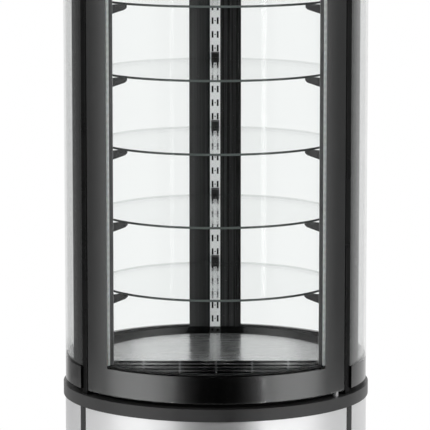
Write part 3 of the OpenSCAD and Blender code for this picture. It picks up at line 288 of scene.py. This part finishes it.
def enamel(tree, gloss, matt_share, matt_colour):
    """Finishes an enamel: glossy with uneven polish, and matt where the share is 1."""
    matt = {"Base Color": matt_colour, "Roughness": 0.7, "Specular IOR Level": 0.03}
    blotches = tree.noise(tree.coordinates(), 40.0, 4.0, 0.6)
    gloss["Roughness"] = tree.spread(blotches, 0.1, 0.16)
    tree.surface(tree.mix_shaders(
        matt_share, tree.add("ShaderNodeBsdfPrincipled", gloss), tree.add("ShaderNodeBsdfPrincipled", matt)))
    return tree.owner


def grille_enamel(name):
    """Enamel on straight bars that mirror as a curved front would, with matt walls in the slots, and a
    painted grey reflection in the colour of its bars, ribs and slot walls.
    """
    tree = Tree(bpy.data.materials.new(name))
    x, y, _ = tree.axes(tree.coordinates())
    share = tree.math("MULTIPLY", tree.math("ABSOLUTE", x), 1 / GRILLE_HALF)
    # Painted reflection: both halves of the grille carry a painted grey sheen in the colour of bars, ribs
    # and slot walls, and its middle and ends stay black
    bar = tree.ramp(share, [
        (0.0, grey(0.002)), (0.14, grey(0.006)), (0.22, grey(0.06)), (0.32, grey(0.22)),
        (0.45, grey(0.27)), (0.66, grey(0.26)), (0.75, grey(0.08)), (0.82, grey(0.008))])
    wall = tree.ramp(share, [
        (0.0, grey(0.003)), (0.2, grey(0.01)), (0.32, grey(0.15)), (0.45, grey(0.24)),
        (0.66, grey(0.22)), (0.76, grey(0.04)), (0.82, grey(0.004))])
    rib = tree.ramp(share, [(0.0, grey(0.05)), (0.25, grey(0.34)), (1.0, grey(0.38))])
    on_rib = tree.math("LESS_THAN", tree.math("PINGPONG", x, RIB_PITCH / 2), RIB_HALF)
    radial = tree.add("ShaderNodeCombineXYZ", {0: x, 1: y, 2: 0.01}).outputs[0]
    gloss = {
        "Base Color": tree.mix(on_rib, bar, rib), "IOR": 2.3,
        "Specular IOR Level": tree.ramp(share, [(0.66, grey(1.0)), (0.82, grey(0.2))]),
        "Normal": tree.add("ShaderNodeVectorMath", {0: radial}, operation="NORMALIZE").outputs[0]}
    slot_wall = tree.math("LESS_THAN", tree.true_normal_axes()[2], 0.2)
    return enamel(tree, gloss, slot_wall, wall)


def ledge_enamel(name):
    """Enamel with matt ledges, and a slope behind the deck that mirrors less toward its ends."""
    tree = Tree(bpy.data.materials.new(name))
    place = tree.coordinates()
    side = tree.math("ABSOLUTE", tree.axes(place)[0])
    up = tree.true_normal_axes()[2]
    slope = tree.math("GREATER_THAN", up, 0.6)
    loss = tree.math("MULTIPLY", slope, tree.spread(side, 0.83, 0.98, 0.14, 0.2))
    blotches = tree.noise(place, 40.0, 4.0, 0.6)
    gloss = {
        "Base Color": tree.tone(blotches, grey(0.0012), grey(0.002)), "IOR": 1.8,
        "Specular IOR Level": tree.math("SUBTRACT", 1.0, loss),
        "Normal": tree.bump(tree.noise(place, 900.0, 2.0), 0.000002)}
    ledge = tree.math("GREATER_THAN", up, 0.95)
    return enamel(tree, gloss, ledge, tree.tone(blotches, grey(0.004), grey(0.006)))


def streaked(name):
    """Black drawn profile with fine upright streaks, its left half painted a little greyer as a painted
    sheen.
    """
    tree = Tree(bpy.data.materials.new(name))
    place = tree.coordinates()
    streaks = tree.noise(tree.scaled(place, (110.0, 110.0, 0.8)), 1.0, 4.0, 0.6)
    # Painted sheen: the colour turns greyer toward the left, standing in for a reflection
    painted_left_sheen = tree.spread(tree.axes(place)[0], 0.0, 1.0, -0.012, -0.055)
    dark = tree.ramp(streaks, [(0.35, grey(0.003)), (0.5, grey(0.012)), (0.68, grey(0.045))])
    pale = tree.tone(streaks, grey(0.05), grey(0.075))
    tree.surface(tree.add("ShaderNodeBsdfPrincipled", {
        "Base Color": tree.mix(tree.math("MULTIPLY", painted_left_sheen, 0.8), dark, pale),
        "Roughness": tree.spread(streaks, 0.14, 0.26),
        "Specular IOR Level": 0.4, "Normal": tree.bump(streaks, 0.000008)}))
    return tree.owner


def post_paint(name):
    """Black powder coat on the front posts, with the bare grey flange that holds each light strip."""
    tree = Tree(bpy.data.materials.new(name))
    place = tree.coordinates()
    x, _, z = tree.axes(place)
    flange = tree.math(
        "MULTIPLY", tree.math("LESS_THAN", tree.math("ABSOLUTE", x), FLANGE_EDGE),
        tree.math("GREATER_THAN", z, GLASS_FOOT))
    blotches = tree.noise(place, 14.0, 5.0, 0.6)
    coat = tree.tone(blotches, grey(0.0015), grey(0.003))
    bare = tree.tone(blotches, grey(0.085), grey(0.11))
    tree.surface(tree.add("ShaderNodeBsdfPrincipled", {
        "Base Color": tree.mix(flange, coat, bare), "Roughness": tree.spread(blotches, 0.24, 0.34),
        "Specular IOR Level": 0.06, "Normal": tree.bump(tree.noise(place, 900.0, 2.0), 0.00001)}))
    return tree.owner


def zinc(name):
    """Galvanised steel with its spangle."""
    colour = (0.5, 0.5, 0.52)
    tree = Tree(bpy.data.materials.new(name))
    place = tree.coordinates()
    cells = tree.add("ShaderNodeTexVoronoi", {"Vector": place, "Scale": 120.0}).outputs["Color"]
    value = tree.add("ShaderNodeSeparateColor", {0: cells}).outputs[0]
    tree.surface(tree.add("ShaderNodeBsdfPrincipled", {
        "Base Color": tree.ramp(value, [(0.0, tuple(c * 0.85 for c in colour)), (1.0, colour)]),
        "Metallic": 1.0, "Roughness": tree.spread(value, 0.32, 0.48, 0.0, 1.0),
        "Normal": tree.bump(tree.noise(place, 300.0), 0.00003)}))
    return tree.owner


def foam(name):
    """Cut foam: pale yellow, with small cells."""
    tree = Tree(bpy.data.materials.new(name))
    place = tree.coordinates()
    cells = tree.add("ShaderNodeTexVoronoi", {"Vector": place, "Scale": 700.0}).outputs["Distance"]
    stain = tree.noise(place, 18.0, 5.0)
    tree.surface(tree.add("ShaderNodeBsdfPrincipled", {
        "Base Color": tree.tone(stain, (0.62, 0.5, 0.25), (0.78, 0.68, 0.4)),
        "Roughness": 0.85, "Normal": tree.bump(cells, 0.0006)}))
    return tree.owner


def copper(name):
    """Drawn copper tube with brown patches of tarnish."""
    tree = Tree(bpy.data.materials.new(name))
    place = tree.coordinates()
    patches = tree.noise(place, 55.0, 6.0, 0.7)
    tree.surface(tree.add("ShaderNodeBsdfPrincipled", {
        "Base Color": tree.ramp(patches, [
            (0.35, (0.30, 0.13, 0.07)), (0.5, (0.72, 0.36, 0.20)), (0.75, (0.86, 0.48, 0.30))]),
        "Metallic": 1.0, "Roughness": tree.spread(patches, 0.45, 0.22, 0.0, 1.0),
        "Normal": tree.bump(tree.noise(place, 600.0), 0.00002)}))
    return tree.owner


def opal(name):
    """Opal light lens with a faint row of light sources behind it."""
    half_pitch = 0.008
    tree = Tree(bpy.data.materials.new(name))
    place = tree.coordinates()
    row = tree.math("MULTIPLY", tree.math("PINGPONG", tree.axes(place)[2], half_pitch), 1 / half_pitch)
    tree.surface(tree.add("ShaderNodeBsdfPrincipled", {
        "Base Color": tree.ramp(row, [(0.0, (0.72, 0.72, 0.71)), (1.0, (0.6, 0.6, 0.595))]),
        "Roughness": 0.28, "Subsurface Weight": 0.1,
        "Normal": tree.bump(tree.noise(place, 500.0), 0.00001)}))
    return tree.owner


def lit(name):
    """Lit digits behind a smoked window, slightly uneven in their glow."""
    tree = Tree(bpy.data.materials.new(name))
    glow = tree.noise(tree.coordinates(), 400.0, 2.0)
    tree.surface(tree.add("ShaderNodeBsdfPrincipled", {
        "Base Color": (0.2, 0.01, 0.01, 1), "Roughness": 0.4,
        "Emission Color": tree.tone(glow, (0.7, 0.04, 0.02), (0.9, 0.08, 0.04)),
        "Emission Strength": 1.0, "Normal": tree.bump(glow, 0.000002)}))
    return tree.owner


# Materials
steel_skin = brushed(
    "steel_skin", (0.9, 0.9, 0.905), 0.42, (6.0, 2600.0, 1.0), wrapped=True, metallic=0.95,
    across=(0.0, 0.0, 1.0), stretch=0.6)
# Painted shade: the deck's colour darkens toward its two sides: distance from the middle plane, and share of
# its tone
steel_deck = brushed(
    "steel_deck", (0.76, 0.76, 0.765), 0.25, (8.0, 1500.0, 400.0), metallic=0.9,
    across=(0.0, 1.0, 0.0), stretch=0.7,
    painted_side_shade=((0.14, 0.9), (0.16, 0.85), (0.18, 0.72), (0.2, 0.5), (0.22, 0.4)))
grille_black = grille_enamel("grille_black")
frame_enamel = ledge_enamel("frame_enamel")
steel_strip = brushed("steel_strip", (0.93, 0.93, 0.932), 0.5, (900.0, 900.0, 30.0), metallic=0.1)
steel_pin = brushed("steel_pin", (0.5, 0.5, 0.505), 0.42, (700.0, 700.0, 40.0))
steel_sheet = brushed("steel_sheet", (0.6, 0.6, 0.605), 0.3, (700.0, 700.0, 12.0))
steel_bright = brushed("steel_bright", (0.78, 0.78, 0.785), 0.12, (500.0, 500.0, 500.0))
aluminium = brushed("aluminium", (0.5, 0.5, 0.505), 0.35, (300.0, 300.0, 10.0))
streaked_black = streaked("streaked_black")
black_satin = coated("black_satin", grey(0.012), 0.28, 0.45, texture=0.00002)
black_paint = coated("black_paint", grey(0.014), 0.22, texture=0.00002)
black_matte = coated("black_matte", grey(0.018), 0.5, 0.35, texture=0.00005, scale=600.0)
black_film = coated("black_film", grey(0.001), 0.12, 1.0, texture=0.0000003, wear=0.1, ior=1.8)
post_black = post_paint("post_black")
ring_paint = coated("ring_paint", grey(0.02), 0.38, 0.6, texture=0.00002)
gap_black = coated("gap_black", grey(0.002), 0.5, 0.04, texture=0.00002)
bracket_coat = coated("bracket_coat", grey(0.036), 0.5, 0.25, texture=0.00004, scale=500.0)
rubber = coated("rubber", grey(0.016), 0.62, 0.3, texture=0.00008, scale=500.0)
frame_paint = coated("frame_paint", grey(0.05), 0.4, 0.4, texture=0.00004, scale=400.0)
white_plastic = coated("white_plastic", (0.78, 0.78, 0.76), 0.35, wear=0.03)
cast_black = coated("cast_black", grey(0.018), 0.35, texture=0.0001, scale=160.0)
zinc_plate = zinc("zinc_plate")
foam_cut = foam("foam_cut")
copper_tube = copper("copper_tube")
opal_lens = opal("opal_lens")
lit_digits = lit("lit_digits")
case_glass = pane("case_glass", (0.986, 0.989, 0.988, 1), (0.982, 0.986, 0.985, 1))
shelf_glass = shelf_pane("shelf_glass")

# Which CAD pieces carry which material
PAINTED = {
    zinc_plate: [
        "levelling_foot_front_left", "levelling_foot_front_right",
        "levelling_foot_rear_left", "levelling_foot_rear_right", "base_plate"],
    frame_paint: ["base_frame", "condenser_shroud"],
    steel_skin: ["base_rear_skin", "base_front_panel", "canopy_cover"],
    black_satin: ["base_seam_strips", "door_frame"],
    gap_black: ["tub_shell"],
    bracket_coat: ["shelf_brackets"],
    steel_bright: ["screws"],
    steel_pin: ["hinge_pins"],
    black_paint: ["canopy_collar"],
    ring_paint: ["collar_ring"],
    foam_cut: ["tub_insulation"],
    steel_sheet: ["tub_liner"],
    steel_strip: ["shelf_strips"],
    frame_enamel: ["lower_frame", "upper_frame"],
    streaked_black: ["rear_post"],
    post_black: ["left_front_post", "right_front_post"],
    steel_deck: ["deck"],
    grille_black: ["deck_grille"],
    aluminium: ["evaporator_coil", "condenser_coil", "led_channels"],
    black_matte: [
        "evaporator_fan_frame", "evaporator_fan", "drip_tray", "condenser_fan", "control_panel",
        "thermostat", "light_switch", "power_gland", "shelf_clips"],
    white_plastic: ["drain_pipe", "set_key", "up_key", "down_key", "ceiling_panel"],
    cast_black: ["compressor"],
    copper_tube: ["refrigerant_lines"],
    black_film: ["side_glass_bands", "door_border"],
    opal_lens: ["led_lenses"],
    rubber: ["door_gasket"],
    case_glass: ["side_outer_glass", "side_inner_glass", "door_outer_glass", "door_inner_glass"],
    shelf_glass: ["shelf_1", "shelf_2", "shelf_3", "shelf_4", "shelf_5"],
}
for material, names in PAINTED.items():
    for name in names:
        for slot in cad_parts[name].material_slots:
            slot.material = material


# Helpers for the added pieces
def piece(name, form, material, body, stands_for=()):
    """One finished piece from a bmesh: smooth faces, sharp edges, its finish and its body."""
    bmesh.ops.recalc_face_normals(form, faces=form.faces)
    mesh = bpy.data.meshes.new(name)
    form.to_mesh(mesh)
    form.free()
    for polygon in mesh.polygons:
        polygon.use_smooth = True
    mesh.set_sharp_from_angle(angle=math.radians(32))
    mesh.materials.append(material)
    made = bpy.data.objects.new(name, mesh)
    scene.collection.objects.link(made)
    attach(made, body)
    if stands_for:
        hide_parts(*stands_for)


def slab(form, low, high, bevel=0.0):
    """A block from one corner to the other, with rounded edges where bevel isn't 0."""
    corners = bmesh.ops.create_cube(form, size=1.0)["verts"]
    for vertex in corners:
        vertex.co = Vector([
            start + (share + 0.5) * (end - start) for share, start, end in zip(vertex.co, low, high)])
    if bevel:
        edges = {edge for vertex in corners for edge in vertex.link_edges}
        bmesh.ops.bevel(form, geom=list(edges), offset=bevel, segments=2, profile=0.5, affect="EDGES")


def circle(radius, height, sides):
    """Points on a level circle round the Z axis."""
    return [
        Vector((radius * math.cos(math.tau * i / sides), radius * math.sin(math.tau * i / sides), height))
        for i in range(sides)]


def skin_rings(form, rings):
    """Faces between closed rings of vertices, where one vertex repeated closes a tip."""
    for first, second in zip(rings, rings[1:]):
        for i in range(len(first)):
            j = (i + 1) % len(first)
            around = [first[i], first[j], second[j], second[i]]
            corners = [v for k, v in enumerate(around) if v not in around[:k]]
            if len(corners) > 2:
                form.faces.new(corners)


def lathe(form, profile, place, sides=48):
    """A turned form: points (radius, height) swept about the Z axis of a matrix."""
    rings = []
    for radius, height in profile:
        if radius == 0:
            rings.append([form.verts.new(place @ Vector((0, 0, height)))] * sides)
        else:
            rings.append([form.verts.new(place @ point) for point in circle(radius, height, sides)])
    skin_rings(form, rings)


def tube(form, points, radius):
    """A round tube along points in a plane across Y, closed at both ends."""
    sides = 14
    y_axis = Vector((0, 1, 0))
    rings = []
    for i, point in enumerate(points):
        ahead = (points[min(i + 1, len(points) - 1)] - points[max(i - 1, 0)]).normalized()
        side = ahead.cross(y_axis).normalized()
        rings.append([
            form.verts.new(point + radius * (
                math.cos(math.tau * k / sides) * side + math.sin(math.tau * k / sides) * y_axis))
            for k in range(sides)])
    skin_rings(form, rings)
    form.faces.new(rings[0])
    form.faces.new(rings[-1])


def screw_head(form, place, radius, height):
    """A pan head with a cross recess, its axis the Z axis of a matrix."""
    sides, steps = 40, 12
    # Shares of the radius and of the height
    arm_half, arm_reach = 0.17, 0.62
    recess_depth, crown_drop = 0.55, 0.38
    middle_height, least_height = 0.45, 0.3
    rings = [[form.verts.new(place @ Vector((0, 0, height * middle_height)))] * sides]
    for step in range(1, steps + 1):
        crown = 1 - crown_drop * (step / steps) ** 3
        ring = []
        for point in circle(radius * step / steps, 0, sides):
            near, far = sorted((abs(point.x), abs(point.y)))
            in_recess = near < arm_half * radius and far < arm_reach * radius
            dent = recess_depth if in_recess else 0.0
            point.z = height * max(crown - dent, least_height)
            ring.append(form.verts.new(place @ point))
        rings.append(ring)
    rings.append([form.verts.new(place @ point) for point in circle(radius, 0, sides)])
    skin_rings(form, rings)


def round_case(azimuth, radius, height):
    """A point at an angle round the case, counted from its front."""
    angle = math.radians(azimuth)
    return Vector((radius * math.sin(angle), -radius * math.cos(angle), height))


QUARTER_TURN_X = Matrix.Rotation(math.radians(90), 4, "X")


def outward(azimuth, radius, height):
    """A matrix on the cylinder's skin whose Z axis points away from the case's axis."""
    turned = Matrix.Rotation(math.radians(azimuth), 4, "Z") @ QUARTER_TURN_X
    return Matrix.Translation(round_case(azimuth, radius, height)) @ turned


# Screws of the panels and of the shelf clips
BASE_SCREWS = (-50, 50, 66, 110, 150, 210, 250, 294)
CANOPY_SCREWS = (66, 130, 230, 294)
# Radius and height of a head
PANEL_SCREW = (0.004, 0.0018)
CLIP_SCREW = (0.0023, 0.0009)
CLIP_SCREW_DROP = 0.0052
SHELF_COUNT = 5
lowest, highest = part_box("screws")
base_level = lowest[2] + PANEL_SCREW[0]
canopy_level = highest[2] - PANEL_SCREW[0]
# A clip's head starts where the head of its solid ends
clip_head_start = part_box("shelf_clips")[0][1] - CLIP_SCREW[1]
heads = bmesh.new()
for azimuth in BASE_SCREWS:
    screw_head(heads, outward(azimuth, SKIN_RADIUS, base_level), *PANEL_SCREW)
for azimuth in CANOPY_SCREWS:
    screw_head(heads, outward(azimuth, SKIN_RADIUS, canopy_level), *PANEL_SCREW)
for number in range(1, SHELF_COUNT + 1):
    low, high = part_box("shelf_%d" % number)
    spot = Matrix.Translation((0, clip_head_start, (low[2] + high[2]) / 2 - CLIP_SCREW_DROP))
    screw_head(heads, spot @ QUARTER_TURN_X, *CLIP_SCREW)
piece("screw_heads", heads, steel_bright, "cabinet", ["screws"])

# Levelling feet: each profile is (radius, height) from the floor up
FEET = {"front_left": -45, "front_right": 45, "rear_right": 135, "rear_left": 225}
FOOT_REACH = 0.27
PAD = [(0, 0), (0.0235, 0), (0.025, 0.0012), (0.025, 0.0048), (0.0238, 0.0066), (0.015, 0.008), (0, 0.008)]
HEXAGON = [(0, 0.008), (0.0098, 0.008), (0.011, 0.0088), (0.011, 0.0142), (0.0098, 0.015), (0, 0.015)]
STEM = [(0, 0.015), (0.0053, 0.015), (0.0053, 0.0918), (0.0045, 0.0926), (0, 0.0926)]
# The thread's section: radius, and height as a share of the pitch
THREAD = ((0.0052, 0.0), (0.006, 0.38), (0.006, 0.55), (0.0052, 0.95))
THREAD_START = 0.0152
THREAD_PITCH = 0.00175
THREAD_TURNS = 43
STEPS_A_TURN = 20
for name, azimuth in FEET.items():
    spot = Matrix.Translation(round_case(azimuth, FOOT_REACH, 0))
    form = bmesh.new()
    lathe(form, PAD, spot)
    lathe(form, HEXAGON, spot, 6)
    helix = []
    for i in range(THREAD_TURNS * STEPS_A_TURN + 1):
        angle = math.tau * i / STEPS_A_TURN
        start = THREAD_START + THREAD_PITCH * i / STEPS_A_TURN
        helix.append([
            form.verts.new(spot @ Vector((
                radius * math.cos(angle), radius * math.sin(angle), start + share * THREAD_PITCH)))
            for radius, share in THREAD])
    for first, second in zip(helix, helix[1:]):
        for k in range(len(THREAD) - 1):
            form.faces.new((first[k], second[k], second[k + 1], first[k + 1]))
    lathe(form, STEM, spot, 24)
    piece(
        "foot_" + name + "_detail", form, zinc_plate, "foot_" + name,
        ["levelling_foot_" + name])

# Finned coils
FIN_HALF = 0.00012
PLATE_HALF = 0.001
PLATE_LAP = 0.003
PLATE_BEVEL = 0.0004
SIDE_MARGIN = 0.002
COIL_FOOT_HALF = 0.015
COIL_FOOT_HEIGHT = 0.01
COIL_FOOT_BEVEL = 0.001
COIL_TUBE_RADIUS = 0.004
TUBE_TAIL = 0.01
BEND_REACH = 0.006
BEND_STEPS = 8


def finned_coil(name, tubes, pitch, feet=()):
    """Fills a node's box with thin fins, two side plates and a copper tube that winds through them."""
    low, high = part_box(name)
    x, y = (low[0] + high[0]) / 2, (low[1] + high[1]) / 2
    z = low[2] + (COIL_FOOT_HEIGHT if feet else 0.0)
    height = high[2] - z
    width = high[0] - low[0] - 2 * (SIDE_MARGIN + BEND_REACH + COIL_TUBE_RADIUS)
    front, back = low[1] + PLATE_LAP, high[1] - PLATE_LAP
    fins = bmesh.new()
    inner = width - 2 * SIDE_MARGIN
    count = round(inner / pitch)
    for i in range(count + 1):
        at = x - width / 2 + SIDE_MARGIN + i * inner / count
        slab(fins, (at - FIN_HALF, front, z), (at + FIN_HALF, back, z + height))
    for side in (-1, 1):
        plate = x + side * (width / 2 + PLATE_HALF)
        slab(fins, (plate - PLATE_HALF, front - PLATE_LAP, z),
             (plate + PLATE_HALF, back + PLATE_LAP, z + height), PLATE_BEVEL)
    for at in feet:
        slab(fins, (x + at - COIL_FOOT_HALF, front + SIDE_MARGIN, z - COIL_FOOT_HEIGHT),
             (x + at + COIL_FOOT_HALF, back - SIDE_MARGIN, z), COIL_FOOT_BEVEL)
    piece(name + "_fins", fins, aluminium, "cabinet", [name])
    levels = [z + (i + 0.5) * height / tubes for i in range(tubes)]
    reach = width / 2 + SIDE_MARGIN
    route = [Vector((x - reach - TUBE_TAIL, y, levels[0]))]
    side = 1
    for level, above in zip(levels, levels[1:] + [None]):
        route.append(Vector((x - side * reach, y, level)))
        route.append(Vector((x + side * reach, y, level)))
        if above is not None:
            for step in range(1, BEND_STEPS):
                bend = math.pi * step / BEND_STEPS
                route.append(Vector((
                    x + side * (reach + BEND_REACH * math.sin(bend)), y,
                    level + (above - level) / 2 * (1 - math.cos(bend)))))
            side = -side
    route.append(Vector((x + side * (reach + TUBE_TAIL), y, levels[-1])))
    winding = bmesh.new()
    tube(winding, route, COIL_TUBE_RADIUS)
    piece(name + "_tube", winding, copper_tube, "cabinet")


finned_coil("evaporator_coil", tubes=4, pitch=0.004)
finned_coil("condenser_coil", tubes=8, pitch=0.0035, feet=(-0.08, 0.08))

# Compressor: the weld round its pot and the cover of its terminals
POT_MIDDLE = (-0.15, 0.09, 0.171)
WELD = [(0.0748, -0.0026), (0.0762, -0.0018), (0.0768, 0), (0.0762, 0.0018), (0.0748, 0.0026)]
# Two corners and the rounding of the cover, and of the catch that holds it
COVER_BLOCKS = (
    ((-0.172, -0.001, 0.108), (-0.128, 0.022, 0.152), 0.004),
    ((-0.155, -0.0035, 0.125), (-0.145, 0.001, 0.135), 0.001))
seam = bmesh.new()
lathe(seam, WELD, Matrix.Translation(POT_MIDDLE), 72)
piece("compressor_seam", seam, cast_black, "cabinet")
cover = bmesh.new()
for low, high, rounding in COVER_BLOCKS:
    slab(cover, low, high, rounding)
piece("compressor_terminal_cover", cover, black_matte, "cabinet")

# Thermostat: smoked window and lit digits; from behind, the panel's left is toward +X
WINDOW_BACK = 0.33522
WINDOW_FACE = WINDOW_BACK + 0.0003
DIGIT_FACE = WINDOW_BACK + 0.0004
WINDOW_X = (0.0173, 0.0507)
WINDOW_Z = (0.3138, 0.3292)
DIGITS = ((0.0385, "3"), (0.0255, "5"))
DIGIT_LEVEL = 0.3215
DIGIT_HALF = 0.003
DIGIT_RISE = 0.0052
BAR_HALF = 0.0005
POINT_X = (0.0315, 0.0325)
POINT_Z = (0.3155, 0.3165)
# Ends of a digit's bars in shares of its half width and of its rise, and the bars of each digit
BARS = {
    "a": ((-1, 1), (1, 1)), "g": ((-1, 0), (1, 0)), "d": ((-1, -1), (1, -1)),
    "f": ((1, 0), (1, 1)), "b": ((-1, 0), (-1, 1)), "c": ((-1, -1), (-1, 0))}
BARS_OF = {"3": "abcdg", "5": "acdfg"}
window = bmesh.new()
slab(window, (WINDOW_X[0], WINDOW_BACK, WINDOW_Z[0]), (WINDOW_X[1], WINDOW_FACE, WINDOW_Z[1]), 0.0001)
piece("thermostat_window", window, black_film, "cabinet")
digits = bmesh.new()
for at, digit in DIGITS:
    for bar in BARS_OF[digit]:
        (x0, z0), (x1, z1) = [
            (at + across * DIGIT_HALF, DIGIT_LEVEL + up * DIGIT_RISE) for across, up in BARS[bar]]
        slab(digits, (x0 - BAR_HALF, WINDOW_FACE, z0 - BAR_HALF), (x1 + BAR_HALF, DIGIT_FACE, z1 + BAR_HALF))
slab(digits, (POINT_X[0], WINDOW_FACE, POINT_Z[0]), (POINT_X[1], DIGIT_FACE, POINT_Z[1]))
piece("thermostat_digits", digits, lit_digits, "cabinet")

# Marks on the keys: an arrow each on two, a ring on the third
ARROW = ((-0.0017, -0.0011), (0.0017, -0.0011), (0, 0.0015))
RING_RADII = (0.001, 0.0016)
MARK_PROUD = 0.00015
MARK_SUNK = 0.0002
for key, sign in (("up_key", 1), ("down_key", -1)):
    low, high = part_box(key)
    x, z = (low[0] + high[0]) / 2, (low[2] + high[2]) / 2
    mark = bmesh.new()
    rings = [
        [mark.verts.new((x + dx, y, z + sign * dz)) for dx, dz in ARROW]
        for y in (high[1] + MARK_PROUD, high[1] - MARK_SUNK)]
    skin_rings(mark, rings)
    for ends in rings:
        mark.faces.new(ends)
    piece(key + "_mark", mark, black_satin, key)
low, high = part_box("set_key")
facing_back = Matrix.Translation((
    (low[0] + high[0]) / 2, high[1], (low[2] + high[2]) / 2)) @ Matrix.Rotation(math.radians(-90), 4, "X")
inner, outer = RING_RADII
set_mark = bmesh.new()
lathe(set_mark, [
    (inner, -MARK_SUNK), (inner, MARK_PROUD), (outer, MARK_PROUD), (outer, -MARK_SUNK),
    (inner, -MARK_SUNK)], facing_back, 28)
piece("set_key_mark", set_mark, black_satin, "set_key")

# Floor, which turns plain white for the camera between two distances from the case
FLOOR_HALF = 9.0
FLOOR_TONE = 0.93
WHITE_FROM, WHITE_AT = 0.5, 1.6
floor_mesh = bpy.data.meshes.new("floor")
floor_mesh.from_pydata(
    [(-FLOOR_HALF, -FLOOR_HALF, 0), (FLOOR_HALF, -FLOOR_HALF, 0),
     (FLOOR_HALF, FLOOR_HALF, 0), (-FLOOR_HALF, FLOOR_HALF, 0)], [], [(0, 1, 2, 3)])
floor = bpy.data.objects.new("floor", floor_mesh)
scene.collection.objects.link(floor)
tree = Tree(bpy.data.materials.new("floor"))
x, y, _ = tree.axes(tree.coordinates())
distance = tree.math("SQRT", tree.math("ADD", tree.math("POWER", x, 2.0), tree.math("POWER", y, 2.0)))
white_share = tree.add("ShaderNodeMapRange", {
    "Value": distance, "From Min": WHITE_FROM, "From Max": WHITE_AT}, interpolation_type="SMOOTHSTEP")
seen_white = tree.math(
    "MULTIPLY", white_share.outputs[0], tree.add("ShaderNodeLightPath").outputs["Is Camera Ray"])
tree.surface(tree.mix_shaders(
    seen_white, tree.add("ShaderNodeBsdfDiffuse", {"Color": even(FLOOR_TONE)}),
    tree.add("ShaderNodeEmission", {"Color": even(1), "Strength": 1.0})))
floor_mesh.materials.append(tree.owner)
floor.visible_glossy = False

# The studio as the polished parts see it: angle from the camera's side in degrees, and level
LIGHT_LEFT = [
    (0, 0.0), (13, 0.01), (18, 0.04), (23, 0.09), (27, 0.2), (32, 0.38), (37, 0.62), (42, 0.83),
    (47, 0.99), (52, 1.1), (65, 1.16), (79, 1.02), (85, 0.86), (91, 0.64), (98, 0.4), (105, 0.25),
    (113, 0.15), (122, 0.1), (132, 0.14), (145, 0.17), (154, 0.4), (164, 0.75), (180, 0.85)]
LIGHT_RIGHT = [
    (0, 0.0), (14, 0.01), (19, 0.03), (23, 0.07), (28, 0.15), (33, 0.3), (37.5, 0.53), (42, 0.75),
    (47, 0.97), (52, 1.09), (68, 1.15), (80, 0.99), (86, 0.76), (92, 0.51), (99, 0.3), (106, 0.19),
    (114, 0.15), (123, 0.11), (134, 0.5), (147, 0.7), (160, 0.85), (180, 0.85)]
# A ramp holds colours up to 1, so the levels are divided by this and multiplied again
TOP_LEVEL = 2.0
# Above the horizon the room is pale, and level glass and the deck show it, less so in front
HORIZON_HALF = 0.03
BACKDROP_FROM = 100
BACKDROP_LEVEL = 0.97
FRONT_SHARE = 0.3
# Well below the horizon the base sees the pale floor behind it
GROUND_FROM, GROUND_AT = -0.204, -0.2085
GROUND_LEVEL = 0.75
# Two upright lights (angle, width in degrees, level) that end above the lower border's reflection
TUBES = [(-34.4, 1.0, 7.0), (36.9, 2.4, 9.0)]
TUBE_FOOT = -0.17
# The room as matt parts see it
ROOM_LEVEL = 0.62
world = bpy.data.worlds.new("studio")
scene.world = world
sky = Tree(world)
east, north, rise = sky.axes(sky.add("ShaderNodeTexCoord").outputs["Generated"])
turn = sky.math("ARCTAN2", east, sky.math("MULTIPLY", north, -1.0))
share = sky.math("MULTIPLY", sky.math("ABSOLUTE", turn), 1 / math.pi)
left, right = [
    sky.ramp(share, [(angle / 180, (level / TOP_LEVEL,) * 3) for angle, level in side])
    for side in (LIGHT_LEFT, LIGHT_RIGHT)]
level = sky.scaled(sky.mix(sky.math("GREATER_THAN", turn, 0.0), left, right), (TOP_LEVEL,) * 3)
behind = sky.math("GREATER_THAN", share, BACKDROP_FROM / 180)
above = sky.spread(rise, 0.0, 1.0, -HORIZON_HALF, HORIZON_HALF)
backdrop_share = sky.math("MULTIPLY", above, sky.math("MAXIMUM", behind, FRONT_SHARE))
level = sky.mix(backdrop_share, level, even(BACKDROP_LEVEL))
below = sky.spread(rise, 0.0, 1.0, GROUND_FROM, GROUND_AT)
level = sky.mix(sky.math("MULTIPLY", behind, below), level, even(GROUND_LEVEL))
for middle, width, tube_level in TUBES:
    off = sky.math("ABSOLUTE", sky.math("SUBTRACT", turn, math.radians(middle)))
    in_tube = sky.math(
        "MULTIPLY", sky.math("LESS_THAN", off, math.radians(width / 2)),
        sky.math("GREATER_THAN", rise, TUBE_FOOT))
    level = sky.mix(in_tube, level, even(tube_level))
path = sky.add("ShaderNodeLightPath").outputs
plain = sky.mix(path["Is Camera Ray"], even(ROOM_LEVEL), even(1))
colour = sky.mix(path["Is Glossy Ray"], plain, level)
sky.surface(sky.add("ShaderNodeBackground", {"Color": colour, "Strength": 1.0}))

# Lamps: name, place, point they face, size of their square and power in watts
LAMPS = [
    ("key", (-2.6, -3.4, 3.6), (0, 0, 0.9), 2.4, 75),
    ("fill", (3.0, -2.8, 2.6), (0, 0, 0.9), 2.4, 45),
    ("back", (0.6, 3.6, 3.4), (0, 0, 1.0), 2.6, 50),
    ("front", (0.0, -4.2, 1.5), (0, 0, 1.1), 1.6, 30)]
for name, place, target, size, watts in LAMPS:
    data = bpy.data.lights.new(name, "AREA")
    data.shape = "RECTANGLE"
    data.size = data.size_y = size
    data.energy = watts
    light = bpy.data.objects.new(name, data)
    light.location = place
    light.rotation_euler = (Vector(target) - Vector(place)).to_track_quat("-Z", "Y").to_euler()
    light.visible_glossy = False
    light.visible_camera = False
    scene.collection.objects.link(light)
